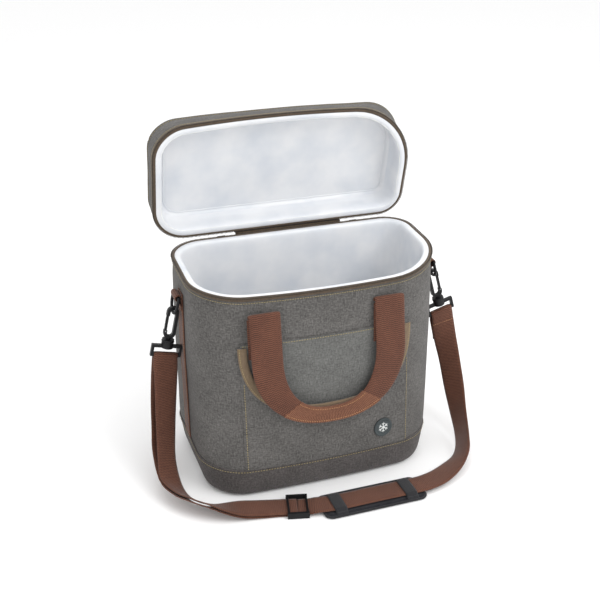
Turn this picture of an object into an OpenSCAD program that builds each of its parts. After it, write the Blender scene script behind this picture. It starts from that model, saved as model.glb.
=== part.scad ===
// Insulated cooler bag with a zipped lid, two webbing carry handles, a front
// pocket and a detachable shoulder strap on swivel snap hooks.
// Origin: centre of the underside. +Z up, the pocket faces -Y, +X is the right side.

/* [Body] */
// Width of the body at the rim
rim_w = 322; // [310:2:330]
// Width of the body at the stitched top line of the bottom band
band_w = 300; // [284:2:306]
// Height of the rear rim above the underside
body_h = 273; // [262:1:282]
// Fall of the rim towards the front, in degrees
rim_tilt = 4; // [2:0.5:5]
// Forward bow of the front wall at the rim
rim_bow = 15; // [10:1:18]
// Sideways lean of the soft body at the rim
rim_shift = 11; // [8:1:12]
// Height of the bottom band
band_h = 42; // [36:1:48]

/* [Wall build-up] */
// Thickness of the woven outer fabric with its backing
fabric_t = 1.2; // [1:0.1:1.4]
// Thickness of the closed-cell foam insulation
foam_t = 8; // [6:0.5:9]
// Thickness of the welded inner liner
liner_t = 0.8; // [0.6:0.1:1]

/* [Lid] */
// Depth of the lid from the zip to its top panel
lid_h = 44; // [38:1:50]
// Width of the lid at its zip
lid_rim_w = 333; // [328:1:336]
// Width of the lid's top panel
lid_top_w = 328; // [320:2:330]
// Angle the lid is opened to from closed, in degrees
lid_open = 80; // [70:1:88]

/* [Handles] */
// Width of the carry-handle webbing
handle_w = 38; // [34:1:40]
// Distance between the two legs of a carry handle
handle_pitch = 154; // [146:2:158]
// Drop of a carry handle from its fold to the bottom of its grip
handle_drop = 141; // [132:1:146]

/* [Shoulder strap] */
// Width of the shoulder-strap webbing
strap_w = 30; // [26:1:30]
// Thickness of the shoulder-strap webbing
strap_t = 1.8; // [1.4:0.1:1.8]
// Length of the shoulder pad
pad_l = 130; // [110:2:132]
// Width of the shoulder pad
pad_w = 43; // [40:1:46]

/* [Clip hardware] */
// Lean of the left ring and hook away from the wall, in degrees
lean_left = 12.8; // [12:0.2:14]
// Lean of the right ring and hook away from the wall, in degrees
lean_right = 16; // [12:0.5:17]
// Radius of the moulded D-ring's wire
ring_r = 1.9; // [1.6:0.1:2]

/* [Hidden] */

// ---- body form: every size as a function of height ----
y_mid = 0;                    // depth at which the bow of the front wall fades out
hinge_y = 86;                 // hinge line, just behind the rear wall
hinge_z = body_h + 0.5;
function w_at(z)   = lookup(z, [[0, band_w-22], [4, band_w-15], [12, band_w-10], [band_h, band_w], [body_h, rim_w]]);
function yf_at(z)  = lookup(z, [[0, -88], [4, -92], [12, -94], [band_h, -96], [body_h, -74]]);
function yb_at(z)  = lookup(z, [[0, 83], [4, 87], [12, 89], [band_h, 91], [body_h, 84]]);
// corner radii as [left, right]
function rf_at(z)  = [lookup(z, [[0, 44], [12, 48], [band_h, 52], [body_h, 56]]), lookup(z, [[0, 44], [12, 48], [band_h, 52], [body_h, 84]])];
function rb_at(z)  = [lookup(z, [[0, 40], [12, 43], [band_h, 45], [body_h, 44]]), lookup(z, [[0, 40], [12, 43], [band_h, 45], [body_h, 34]])];
// the soft body leans to the right above the band
function shift_at(z) = rim_shift*max(0, z - band_h)/(body_h - band_h);
function less(r, ins) = [for (v = r) max(4, v - ins)];
function bow_at(z) = lookup(z, [[0, 5], [12, 7], [band_h, 10], [body_h, rim_bow]]);

function arc(cx, cy, r, a0, n) = [for (i = [0:n]) let(a = a0 + 90*i/n) [cx + r*cos(a), cy + r*sin(a)]];
function seg(p, q, n) = [for (i = [1:n-1]) p + (q - p)*i/n];
function bowed(p, w, yf, bow) = [p.x, p.y - ((p.y < y_mid) ? bow*max(0, 1 - pow(2*p.x/w, 2))*(p.y - y_mid)/(yf - y_mid) : 0)];
function outline(w, yf, yb, rf, rb, bow) = let(
    x = w/2,
    pts = concat(
      arc(x - rb[1], yb - rb[1], rb[1], 0, 6),
      seg([x - rb[1], yb], [-x + rb[0], yb], 5),
      arc(-x + rb[0], yb - rb[0], rb[0], 90, 6),
      seg([-x, yb - rb[0]], [-x, yf + rf[0]], 3),
      arc(-x + rf[0], yf + rf[0], rf[0], 180, 6),
      seg([-x + rf[0], yf], [x - rf[1], yf], 9),
      arc(x - rf[1], yf + rf[1], rf[1], 270, 6),
      seg([x, yf + rf[1]], [x, yb - rb[1]], 3)))
  [for (p = pts) bowed(p, w, yf, bow)];
function section(z, ins) = [for (p = outline(w_at(z) - 2*ins, yf_at(z) + ins, yb_at(z) - ins,
    less(rf_at(z), ins), less(rb_at(z), ins), bow_at(z))) [p.x + shift_at(z), p.y]];
// the rim falls towards the front; lower levels stay flat
function place(x, y, z) = [x, y, z - (hinge_y - y)*tan(rim_tilt)*pow(z/body_h, 2)];
function ring3(z, ins) = [for (p = section(z, ins)) place(p.x, p.y, z)];

// front wall as a surface over x and height
function corner_y(x, w, yf, r) = let(e = abs(x) - (w/2 - r)) (e <= 0) ? yf : yf + r - sqrt(max(0, r*r - e*e));
function front_y(x, z) = let(w = w_at(z), yf = yf_at(z), u = x - shift_at(z), by = corner_y(u, w, yf, rf_at(z)[u < 0 ? 0 : 1]))
    by - bow_at(z)*max(0, 1 - pow(2*u/w, 2))*(by - y_mid)/(yf - y_mid);

// ---- surface builders ----
function mean(r, i = 0, s = [0, 0, 0]) = (i == len(r)) ? s/len(r) : mean(r, i + 1, s + r[i]);
// chain of equal rings; loop closes the last ring onto the first, otherwise both ends are capped
module skin(rings, loop = false, fan = false) {
  n = len(rings[0]); m = len(rings);
  mids = fan ? [mean(rings[0]), mean(rings[m-1])] : [];
  pts = concat([for (r = rings) for (p = r) p], mids);
  last = loop ? m - 1 : m - 2;
  sides = [for (i = [0:last]) for (j = [0:n-1]) let(a = i*n + j, b = i*n + (j+1)%n, c = ((i+1)%m)*n + (j+1)%n, d = ((i+1)%m)*n + j)
      each [[a, d, c], [a, c, b]]];
  caps = loop ? [] :
    fan ? [for (j = [0:n-1]) each [[m*n, j, (j+1)%n], [m*n + 1, (m-1)*n + (j+1)%n, (m-1)*n + j]]] :
    [[for (j = [0:n-1]) j], [for (j = [n-1:-1:0]) (m-1)*n + j]];
  polyhedron(pts, concat(sides, caps), convexity = 8);
}
// wall between two insets over a list of levels
module wall(levels, i0, i1) {
  k = len(levels);
  skin(concat([for (z = levels) ring3(z, i0)], [for (q = [k-1:-1:0]) ring3(levels[q], i1)]), loop = true);
}
// plate that follows the front wall: columns x, height from lo(x) to hi(x), offsets o0 (inner) and o1 (outer)
module front_plate(xs, lo, hi, o0, o1, nz) {
  nx = len(xs);
  function zz(i, k) = lo[i] + (hi[i] - lo[i])*k/nz;
  rings = [for (i = [0:nx-1]) concat(
      [for (k = [0:nz]) let(z = zz(i, k)) place(xs[i], front_y(xs[i], z) - o0[i][k], z)],
      [for (k = [nz:-1:0]) let(z = zz(i, k)) place(xs[i], front_y(xs[i], z) - o1[i][k], z)])];
  skin(rings);
}
function unit(v) = v/norm(v);
function perp(w, t) = unit(w - t*(w*t));
// flat webbing swept along route points with a width direction at each point
module ribbon(route, wide, w, t) {
  m = len(route);
  rings = [for (i = [0:m-1]) let(
      d = unit(route[min(i+1, m-1)] - route[max(i-1, 0)]),
      a = perp(wide[i], d), b = cross(d, a))
      [for (s = [[-1,-1], [1,-1], [1,1], [-1,1]]) route[i] + a*s[0]*w/2 + b*s[1]*t/2]];
  skin(rings);
}
// smooth curve through hand-set points
function cr(p0, p1, p2, p3, t) = 0.5*((2*p1) + (p2 - p0)*t + (2*p0 - 5*p1 + 4*p2 - p3)*t*t + (3*p1 - p0 - 3*p2 + p3)*t*t*t);
function smooth(p, n) = let(m = len(p)) concat([for (i = [0:m-2]) for (k = [0:n-1])
    cr(p[max(i-1, 0)], p[i], p[i+1], p[min(i+2, m-1)], k/n)], [p[m-1]]);

// ---- walls ----
wall_levels = [1.3, 4, 12, band_h, 100, 160, 220, 270];
module outer_shell() { color([0.42, 0.40, 0.385]) wall(wall_levels, 0, fabric_t); }
module bottom_band() { color([0.37, 0.345, 0.34]) wall([0.4, 4, 12, band_h, band_h + 1], -1, -0.25); }
foam_in = fabric_t + 0.25;
foam_out = foam_in + foam_t;
module foam_walls() { color([0.93, 0.93, 0.9]) wall([1.3, 4, 12, band_h, 100, 160, 220, 269.6], foam_in, foam_out); }
liner_in = foam_out + 0.25;
liner_out = liner_in + liner_t;
floor_z = 12.6;
lip_in = 2.6;                 // where the liner's turned-over lip meets the binding
module liner() {
  color([0.92, 0.92, 0.93]) skin(concat(
    [ring3(floor_z, liner_in)], [for (z = [band_h, 100, 160, 220, 270.2]) ring3(z, liner_in)],
    [ring3(270.2, lip_in), ring3(271.4, lip_in), ring3(271.4, liner_out)],
    [for (z = [220, 160, 100, band_h]) ring3(z, liner_out)], [ring3(floor_z + liner_t, liner_out)]));
}
module flat_slab(z0, z1, ins) {
  translate([0, 0, z0]) linear_extrude(z1 - z0) polygon(outline(w_at(0) - 2*ins, yf_at(0) + ins, yb_at(0) - ins, less(rf_at(0), ins), less(rb_at(0), ins), bow_at(0)));
}
module base_panel() { color([0.37, 0.345, 0.34]) flat_slab(0, 1.2, 0.1); }
module base_board() { color([0.2, 0.2, 0.2]) flat_slab(1.3, 4.2, foam_out + 0.2); }
module foam_base() { color([0.93, 0.93, 0.9]) flat_slab(4.3, 12.5, foam_out + 0.2); }

// ---- rim ----
module rim_binding() { color([0.3, 0.24, 0.19]) wall([270.2, 272.4], -0.2, lip_in - 0.1); }
module rim_zip() {
  color([0.27, 0.22, 0.18]) skin([for (q = [[261, -1], [270.2, -1], [270.2, -2.1], [272.4, -2.1], [272.4, -0.95], [271.6, -0.95], [271.6, -0.25], [261, -0.25]])
    ring3(q[0], q[1])], loop = true);
}
hinge_x = 14;                 // middle of the straight rear run
module hinge_strip() {
  color([0.3, 0.25, 0.2]) translate([hinge_x - 72, 0, 0]) rotate([90, 0, 90]) linear_extrude(144)
    polygon([[85.05, 246], [86, 246], [86.6, 260.4], [86.6, 269.8], [85.75, 269.8], [85.75, 260.6]]);
}
module zip_stops() {
  color([0.25, 0.25, 0.26]) for (s = [-1, 1]) translate([hinge_x + s*78 - 2, 86.7, 262.6]) cube([4, 1.4, 7]);
}

// ---- front pocket ----
pocket_x = 105;
smile_n = 2.7; smile_a = 99; smile_top = 213; smile_drop = 89;
function smile_z(x) = smile_top - smile_drop*pow(max(0, 1 - pow(abs(x)/smile_a, smile_n)), 1/smile_n);
function bulge(x, z) = 6.4*max(0, 1 - pow(x/pocket_x, 2))*min(1.1, pow(max(0, (z - band_h)/(124 - band_h)), 1.3))*lookup(z, [[120, 1], [205, 0.2]]);
pocket_cols = [for (i = [0:20]) -pocket_x + 2*pocket_x*i/20];
module pocket_back() {
  nz = 4;
  color([0.45, 0.45, 0.42]) front_plate(pocket_cols, [for (x = pocket_cols) band_h + 4], [for (x = pocket_cols) smile_top],
    [for (x = pocket_cols) [for (k = [0:nz]) 0.35]], [for (x = pocket_cols) [for (k = [0:nz]) 1.15]], nz);
}
module front_pocket() {
  nz = 6;
  hi = [for (x = pocket_cols) min(smile_z(x), 176)];
  lo = [for (x = pocket_cols) band_h + 2];
  off = [for (i = [0:len(pocket_cols)-1]) [for (k = [0:nz]) let(z = lo[i] + (hi[i]-lo[i])*k/nz) 1.5 + bulge(pocket_cols[i], z)]];
  color([0.42, 0.40, 0.385]) front_plate(pocket_cols, lo, hi, off, [for (r = off) [for (v = r) v + 1.2]], nz);
}
// binding ribbon along the pocket mouth
module pocket_binding() {
  m = 40;
  pts = [for (i = [0:m]) let(a = 1.2 + 177.6*i/m, c = cos(a), s = sin(a),
      x = -smile_a*sign(c)*pow(abs(c), 2/smile_n), z = smile_top - smile_drop*pow(s, 2/smile_n))
      let(off = 3 + bulge(max(-pocket_x, min(pocket_x, x)), z))
      [x, z, off]];
  rings = [for (i = [0:m]) let(
      p = pts[i], q0 = pts[max(0, i-1)], q1 = pts[min(m, i+1)],
      d = unit([q1[0]-q0[0], q1[1]-q0[1]]), nrm = [d[1], -d[0]],
      a = [p[0] + nrm[0]*0.2, p[1] + nrm[1]*0.2], b = [p[0] + nrm[0]*9, p[1] + nrm[1]*9],
      ya = front_y(a[0], a[1]) - p[2], yb = front_y(b[0], b[1]) - p[2])
      [place(a[0], ya, a[1]), place(b[0], yb, b[1]), place(b[0], yb - 1.1, b[1]), place(a[0], ya - 1.1, a[1])]];
  color([0.62, 0.5, 0.36]) skin([for (i = [m:-1:0]) rings[i]]);
}
badge_x = 70; badge_z = 71.5;
module badge() {
  y = front_y(badge_x, badge_z) - bulge(badge_x, badge_z) - 3.45;
  color([0.24, 0.28, 0.28]) translate([badge_x, y, badge_z]) rotate([90 - 5, 0, 4]) union() {
    cylinder(r = 12.5, h = 1.3, $fn = 64);
    translate([0, 0, 1.3]) difference() { cylinder(r = 12.2, h = 0.5, $fn = 64); translate([0, 0, -0.1]) cylinder(r = 11, h = 0.8, $fn = 64); }
  }
}

// ---- carry handles ----
leg_x = handle_pitch/2;
fold_z = 240;
fold_r = 3.6;
front_fold_y = -93.4; front_lean = 9;
rear_fold_y = 90.4; rear_lean = 4;
module patch_pair(y_in, y_out, z0, z1, lean) {
  for (s = [-1, 1]) translate([s*leg_x - handle_w/2, 0, 0]) rotate([90, 0, 90]) linear_extrude(handle_w)
    polygon([[y_in + lean*(fold_z - z0), z0], [y_in, z1], [y_out, z1], [y_out + lean*(fold_z - z0), z0]]);
}
module front_handle_patches() {
  nz = 3;
  color([0.46, 0.28, 0.2]) for (s = [-1, 1]) {
    cols = [for (i = [0:4]) s*leg_x - handle_w/2 + handle_w*i/4];
    front_plate(cols, [for (c = cols) 196], [for (c = cols) 240], [for (c = cols) [for (k = [0:nz]) 1.5]], [for (c = cols) [for (k = [0:nz]) 2.9]], nz);
  }
}
module rear_handle_patches() { color([0.46, 0.28, 0.2]) patch_pair(85.3, 87.4, 192, 235, 0.03); }
function se(a, b, n, z0, m) = [for (i = [0:m]) let(t = 90*i/m) [a*pow(cos(t), 2/n), z0 - b*pow(sin(t), 2/n)]];
grip_h = 19;
grip_x = 44;
inner_half = leg_x - handle_w/2;
outer_half = leg_x + handle_w/2;
outer_curve = se(outer_half, handle_drop - 50, 2.3, -50, 14);
inner_curve = se(inner_half, handle_drop - grip_h - 50, 2.5, -50, 12);
module handle_outline() {
  polygon(concat([[outer_half, 0]], outer_curve, [for (i = [len(outer_curve)-2:-1:0]) [-outer_curve[i][0], outer_curve[i][1]]], [[-outer_half, 0]],
    [[-inner_half, 0]], [for (i = [0:len(inner_curve)-2]) [-inner_curve[i][0], inner_curve[i][1]]],
    [for (i = [len(inner_curve)-1:-1:0]) inner_curve[i]], [[inner_half, 0]]));
}
// local frame: pivot on the fold axis, z down the handle, y away from the bag
module webbing_handle() {
  union() {
    rotate([90, 0, 0]) translate([0, 0, 1.2]) linear_extrude(2.4) handle_outline();
    for (s = [-1, 1]) translate([s*leg_x - handle_w/2, 0, 0]) rotate([0, 90, 0]) cylinder(r = fold_r, h = handle_w, $fn = 40);
  }
}
module grip() {
  for (h = [-0.2, 3.65]) rotate([90, 0, 0]) translate([0, 0, h]) linear_extrude(1.35) intersection() {
    handle_outline();
    translate([-grip_x, -200]) square([2*grip_x, 115]);
  }
}
module at_front() { translate([0, front_fold_y, fold_z]) rotate([-front_lean, 0, 0]) children(); }
module at_rear() { translate([0, rear_fold_y, fold_z]) rotate([rear_lean, 0, 0]) mirror([0, 1, 0]) children(); }
module front_handle() { color([0.5, 0.3, 0.21]) at_front() webbing_handle(); }
module front_grip() { color([0.62, 0.4, 0.27]) at_front() grip(); }
module rear_handle() { color([0.5, 0.3, 0.21]) at_rear() webbing_handle(); }
module rear_grip() { color([0.62, 0.4, 0.27]) at_rear() grip(); }

// ---- side straps, tabs and clips: s is 1 on the right side and -1 on the left ----
tab_z = 238;
tab_x = w_at(tab_z)/2 + 6.95;
tab_shift = shift_at(tab_z);
function side_at(s, z, off) = s*(w_at(z)/2 + off) + shift_at(z);
module side_strap(s) {
  color([0.46, 0.28, 0.2]) rotate([90, 0, 0]) translate([0, 0, -12.5]) linear_extrude(25)
    polygon([[side_at(s, band_h + 3, 0.4), band_h + 3], [side_at(s, tab_z + 4, 0.4), tab_z + 4], [side_at(s, tab_z + 4, 1.8), tab_z + 4], [side_at(s, band_h + 3, 1.8), band_h + 3]]);
}
module at_tab(s) { translate([s*tab_x + tab_shift, 0, tab_z]) mirror([s < 0 ? 1 : 0, 0, 0]) children(); }
module tab(s) {
  color([0.46, 0.28, 0.2]) at_tab(s) rotate([90, 0, 0]) difference() {
    union() {
      cylinder(r = 4.7, h = 23, center = true, $fn = 48);
      translate([-4.75, -14, -11.5]) cube([1.6, 14, 23]);
    }
    cylinder(r = ring_r + 0.7, h = 24, center = true, $fn = 48);
  }
}
// clip frame: tab axis at the origin, leaning away from the wall
module clip(s) { at_tab(s) rotate([0, -(s < 0 ? lean_left : lean_right), 0]) children(); }
ring_half = 14; ring_leg = 8;
wire_z = -(ring_half + ring_leg);
module d_ring(s) {
  color([0.12, 0.12, 0.13]) clip(s) union() {
    rotate([90, 0, 0]) cylinder(r = ring_r, h = 2*ring_half, center = true, $fn = 40);
    for (k = [-1, 1]) translate([0, k*ring_half, 0]) { sphere(r = ring_r, $fn = 40); translate([0, 0, -ring_leg]) cylinder(r = ring_r, h = ring_leg, $fn = 40); }
    translate([0, 0, -ring_leg]) rotate([0, 90, 0]) rotate([0, 0, -90]) rotate_extrude(angle = 180, $fn = 96) translate([ring_half, 0]) circle(r = ring_r, $fn = 40);
  }
}
eye_r = 3.4; side_r = 7.4; eye_l = 27; gate_w = 3;
pin_x = 5.5; pin_z = wire_z - eye_l + 2.2;
module stadium(r, l) { union() { circle(r = r, $fn = 64); translate([-r, -l]) square([2*r, l]); translate([0, -l]) circle(r = r, $fn = 64); } }
// flat shape in the local x-z plane, thickness th along y
module slab_xz(th) { rotate([90, 0, 0]) translate([0, 0, -th/2]) linear_extrude(th) children(); }
module hook(s) {
  color([0.1, 0.1, 0.11]) clip(s) union() {
    difference() {
      translate([0, 0, wire_z]) slab_xz(5) difference() {
        stadium(side_r, eye_l);
        stadium(eye_r, eye_l);
        translate([2.8, -eye_l + 3.6]) square([6, eye_l - 8.2]);
      }
      translate([pin_x, 0, pin_z]) slab_xz(gate_w + 0.5) { circle(r = 2.1, $fn = 40); translate([-2.7, 0]) square([5.2, 4]); }
      translate([pin_x, 0, pin_z]) rotate([90, 0, 0]) cylinder(r = 0.8, h = 8, center = true, $fn = 32);
    }
    translate([0, 0, -63.4]) cylinder(r = 3, h = 8.6, $fn = 48);
    translate([0, 0, -64.4]) cylinder(r = 4.6, h = 1.8, $fn = 48);
  }
}
module gate_pin(s) { color([0.6, 0.6, 0.62]) clip(s) translate([pin_x, 0, pin_z]) rotate([90, 0, 0]) cylinder(r = 0.78, h = 5, center = true, $fn = 32); }
module gate(s) {
  color([0.13, 0.13, 0.14]) clip(s) difference() {
    union() {
      translate([pin_x, 0, pin_z]) slab_xz(gate_w) circle(r = 1.7, $fn = 40);
      translate([0, 0, 0]) slab_xz(gate_w) translate([pin_x - 1.5, pin_z]) square([3, -(pin_z) + wire_z - 5.2]);
    }
    translate([pin_x, 0, pin_z]) rotate([90, 0, 0]) cylinder(r = 0.85, h = 8, center = true, $fn = 32);
  }
}
loop_half = 19; loop_top = -64.9; loop_bot = -80.4; bar = 3.6;
module swivel(s) {
  color([0.1, 0.1, 0.11]) clip(s) difference() {
    union() {
      translate([0, 0, loop_top - bar]) cylinder(r = 7.4, h = 11, $fn = 64);
      slab_xz(4.6) difference() {
        translate([-loop_half, loop_bot]) square([2*loop_half, loop_top - loop_bot]);
        translate([-loop_half + 3.4, loop_bot + bar]) square([2*loop_half - 6.8, loop_top - loop_bot - 2*bar]);
      }
    }
    translate([0, 0, -62.3]) cylinder(r = 3.25, h = 10, $fn = 48);
    translate([0, 0, -65.2]) cylinder(r = 4.9, h = 2.95, $fn = 48);
  }
}
module left() { mirror([1, 0, 0]) children(); }
module side_strap_right() { side_strap(1); }
module side_strap_left() { side_strap(-1); }
module tab_right() { tab(1); }
module tab_left() { tab(-1); }
module d_ring_right() { d_ring(1); }
module d_ring_left() { d_ring(-1); }
module hook_right() { hook(1); }
module hook_left() { hook(-1); }
module gate_pin_right() { gate_pin(1); }
module gate_pin_left() { gate_pin(-1); }
module gate_right() { gate(1); }
module gate_left() { gate(-1); }
module swivel_right() { swivel(1); }
module swivel_left() { swivel(-1); }

// ---- lid: built closed on a level rim with the hinge axis as origin, then turned ----
function lid_w(v)  = lookup(v, [[0, lid_rim_w], [lid_h*0.5, lid_rim_w], [lid_h - 5, lid_top_w], [lid_h, lid_top_w - 7]]);
function lid_f(v)  = lookup(v, [[0, -68], [lid_h*0.5, -65], [lid_h - 5, -59], [lid_h, -54]]);
function lid_b(v)  = lookup(v, [[0, 84], [lid_h*0.5, 84], [lid_h - 5, 82], [lid_h, 77]]);
function lid_rf(v) = [lookup(v, [[0, 38], [lid_h*0.5, 38], [lid_h, 32]]), lookup(v, [[0, 80], [lid_h*0.5, 68], [lid_h, 44]])];
function lid_rb(v) = [lookup(v, [[0, 42], [lid_h*0.5, 40], [lid_h, 34]]), lookup(v, [[0, 30], [lid_h*0.5, 30], [lid_h, 27]])];
function lid_bow(v) = lookup(v, [[0, 9], [lid_h*0.5, 7], [lid_h, 4]]);
lid_shift = 3.5;
function lid_ring(v, ins, k = 1, dv = 0) = [for (p = outline(lid_w(v) - 2*ins, lid_f(v) + ins, lid_b(v) - ins,
    less(lid_rf(v), ins), less(lid_rb(v), ins), lid_bow(v))) [p.x*k + lid_shift, (p.y - 5)*k + 5 - hinge_y, v + dv]];
module opened() { translate([0, hinge_y, hinge_z]) rotate([rim_tilt - lid_open, 0, 0]) children(); }
// cup open towards the body: outer inset a, inner inset b, top thickness t, ceiling at height c
module cup(a, b, t, c, v0, lip = []) {
  vs = [v0, 6, lid_h*0.5, lid_h - 5];
  skin(concat(
    [lid_ring(lid_h, b + 0.3, 0.5, c - t - lid_h + 1.8)], [lid_ring(lid_h, b + 0.3, 0.9, c - t - lid_h + 0.9)], [lid_ring(lid_h, b + 0.3, 1, c - t - lid_h)],
    [for (i = [3:-1:0]) lid_ring(vs[i], b, 1, i == 3 ? (c - t - 4 - vs[3]) : 0)],
    [for (q = lip) lid_ring(q[0], q[1])],
    [for (i = [0:3]) lid_ring(i == 0 ? (len(lip) > 0 ? 1.7 : v0) : vs[i], a, 1, i == 3 ? (c - 4.4 - vs[3]) : 0)],
    [lid_ring(lid_h, a, 1, c - lid_h)], [lid_ring(lid_h, a, 0.9, c - lid_h + 0.9)], [lid_ring(lid_h, a, 0.5, c - lid_h + 1.8)]), fan = true);
}
module lid_shell() { color([0.42, 0.40, 0.385]) opened() cup(0, fabric_t, fabric_t, lid_h, 1.2); }
module lid_foam() { color([0.93, 0.93, 0.9]) opened() cup(foam_in, foam_out, foam_t, lid_h - fabric_t - 0.6, 1.6); }
module lid_liner() {
  color([0.92, 0.92, 0.93]) opened() cup(liner_in, liner_out, liner_t, lid_h - fabric_t - foam_t - 1.3, 0.7,
    lip = [[0.7, lip_in], [1.5, lip_in], [1.5, liner_in - 0.05]]);
}
module lid_band(v0, v1, a, b) { skin(concat([lid_ring(v0, a)], [lid_ring(v1, a)], [lid_ring(v1, b)], [lid_ring(v0, b)]), loop = true); }
module lid_zip() {
  color([0.27, 0.22, 0.18]) opened() skin([for (q = [[0.6, -2.1], [2.6, -2.1], [2.6, -1], [11, -1], [11, -0.25], [1.2, -0.25], [1.2, -0.95], [0.6, -0.95]])
    lid_ring(q[0], q[1])], loop = true);
}
module lid_piping() { color([0.3, 0.24, 0.19]) opened() lid_band(0.4, 1.15, -0.2, lip_in - 0.1); }

// ---- zip sliders and pulls ----
slider_x = 90; slider_y = 86.2; slider_z = 266.2;
module slider() {
  color([0.16, 0.16, 0.17]) translate([slider_x, slider_y, slider_z]) union() {
    translate([-5, 0.4, -4.6]) cube([10, 2.2, 9.6]);
    translate([-1.3, 2.5, -3.4]) difference() {
      cube([2.6, 3.4, 7]);
      translate([-1, -0.1, 1.6]) cube([5, 1.9, 3.8]);
    }
  }
}
module pull() {
  color([0.12, 0.12, 0.13]) translate([slider_x, slider_y + 3.4, slider_z - 0.9]) union() {
    rotate([0, 90, 0]) cylinder(r = 0.75, h = 7.6, center = true, $fn = 32);
    for (s = [-1, 1]) translate([s*3.2 - 0.75, -0.75, -5]) cube([1.5, 1.5, 5]);
    translate([-4, -0.75, -19]) cube([8, 1.8, 14.2]);
  }
}
module zip_slider_right() { translate([hinge_x, 0, 0]) slider(); }
module zip_slider_left() { translate([hinge_x, 0, 0]) left() slider(); }
module zip_pull_right() { translate([hinge_x, 0, 0]) pull(); }
module zip_pull_left() { translate([hinge_x, 0, 0]) left() pull(); }

// ---- shoulder strap lying in front of the bag ----
// main ply from the left loop to the slider
left_pts = [[-174.5, -4, 153], [-177, -7, 130], [-180, -12, 100], [-184, -22, 66], [-188, -38, 38], [-189, -60, 22], [-182, -83, 16],
  [-170, -101, 15.5], [-155, -113, 14], [-138, -121, 11.5], [-118, -126, 8.2], [-98, -129, 5.6], [-76, -133, 4.4], [-55, -138.5, 3.9]];
left_wide = [[0.98, 0, -0.2], [0.97, 0.2, -0.1], [0.93, 0.35, -0.12], [0.87, 0.46, -0.2], [0.8, 0.45, -0.38], [0.84, 0.25, -0.46], [0.62, 0.5, -0.6],
  [0.42, 0.6, -0.66], [0.35, 0.7, -0.6], [0.25, 0.9, -0.3], [0.15, 1, 0], [0.1, 1, 0.03], [0.22, 1, 0], [0.24, 1, 0]];
// second ply, from the back of the loop down behind the first
back_pts = [[-174.5, 5, 153], [-177.5, 11, 126], [-180.5, 12, 94], [-184.5, 3, 61], [-189.5, -17, 37]];
back_wide = [[0.98, 0, -0.2], [0.98, 0.1, -0.1], [0.96, 0.25, -0.05], [0.9, 0.38, -0.15], [0.84, 0.42, -0.32]];
right_pts = [[198, -3, 154], [202, -7, 128], [207.5, -14, 96], [210, -27, 62], [207.5, -46, 38], [201, -71, 22], [191, -94, 15.5], [177, -115, 12],
  [157, -131, 8.6], [134, -143, 6.7], [112, -149, 6.5], [90, -150, 6.5], [40, -150, 6.5], [-8, -150, 6.5], [-30, -147, 6.2], [-39, -143.4, 4], [-52, -139.4, 3.2]];
right_wide = [[0.96, 0, 0.27], [0.9, -0.38, 0.18], [0.7, -0.68, 0.22], [0.62, -0.69, 0.37], [0.42, -0.67, 0.61], [0.31, -0.54, 0.79], [0.4, -0.4, 0.82], [0.53, -0.56, 0.6],
  [0.45, -0.85, 0.25], [0.28, -1, 0.05], [0.05, -1, 0], [0, -1, 0], [0, -1, 0], [0, -1, 0], [-0.12, -1, 0], [-0.22, -1, 0], [-0.24, -1, 0]];
function tangent(p, i) = unit(p[min(i+1, len(p)-1)] - p[max(i-1, 0)]);
under = [for (i = [5:12]) left_pts[i] - cross(tangent(left_pts, i), perp(left_wide[i], tangent(left_pts, i)))*3.3];
return_pts = concat(back_pts, [for (p = under) [p.x, p.y, max(p.z, 1.45)]]);
return_wide = concat(back_wide, [for (i = [5:12]) left_wide[i]]);
module strap_left() { color([0.5, 0.3, 0.21]) ribbon(smooth(left_pts, 2), smooth(left_wide, 2), strap_w, strap_t); }
module strap_return() { color([0.46, 0.28, 0.2]) ribbon(smooth(return_pts, 2), smooth(return_wide, 2), strap_w, strap_t); }
module strap_right() { color([0.5, 0.3, 0.21]) ribbon(smooth(right_pts, 2), smooth(right_wide, 2), strap_w, strap_t); }

glide_at = [-53, -139, 0]; glide_turn = -14;
module triglide() {
  color([0.1, 0.1, 0.11]) translate(glide_at) rotate([0, 0, glide_turn]) union() {
    for (s = [-1, 1]) translate([-13, s*(strap_w/2 + 2.4) - 1.6, 0]) cube([26, 3.2, 7.9]);
    for (s = [-1, 1]) translate([s*11.2, 0, 6.8]) rotate([90, 0, 0]) cylinder(r = 1.3, h = strap_w + 4, center = true, $fn = 32);
    translate([-2.2, -strap_w/2 - 2, 0.1]) cube([4.4, strap_w + 4, 1.5]);
  }
}
pad_c = [39, -150, 0];
module shoulder_pad() {
  color([0.13, 0.13, 0.14]) translate(pad_c) linear_extrude(5) union() {
    square([pad_l - 16, pad_w], center = true);
    square([pad_l, pad_w - 16], center = true);
    for (sx = [-1, 1]) for (sy = [-1, 1]) translate([sx*(pad_l/2 - 8), sy*(pad_w/2 - 8)]) circle(r = 8, $fn = 48);
  }
}
module pad_keepers() {
  color([0.1, 0.1, 0.11]) for (s = [-1, 1]) translate([pad_c.x + s*(pad_l/2 - 19) - 7, pad_c.y, 0]) difference() {
    translate([0, -pad_w/2 + 1.5, 5.05]) cube([14, pad_w - 3, 3.8]);
    translate([-1, -strap_w/2 - 0.6, 4]) cube([16, strap_w + 1.2, 3.7]);
  }
}

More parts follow.
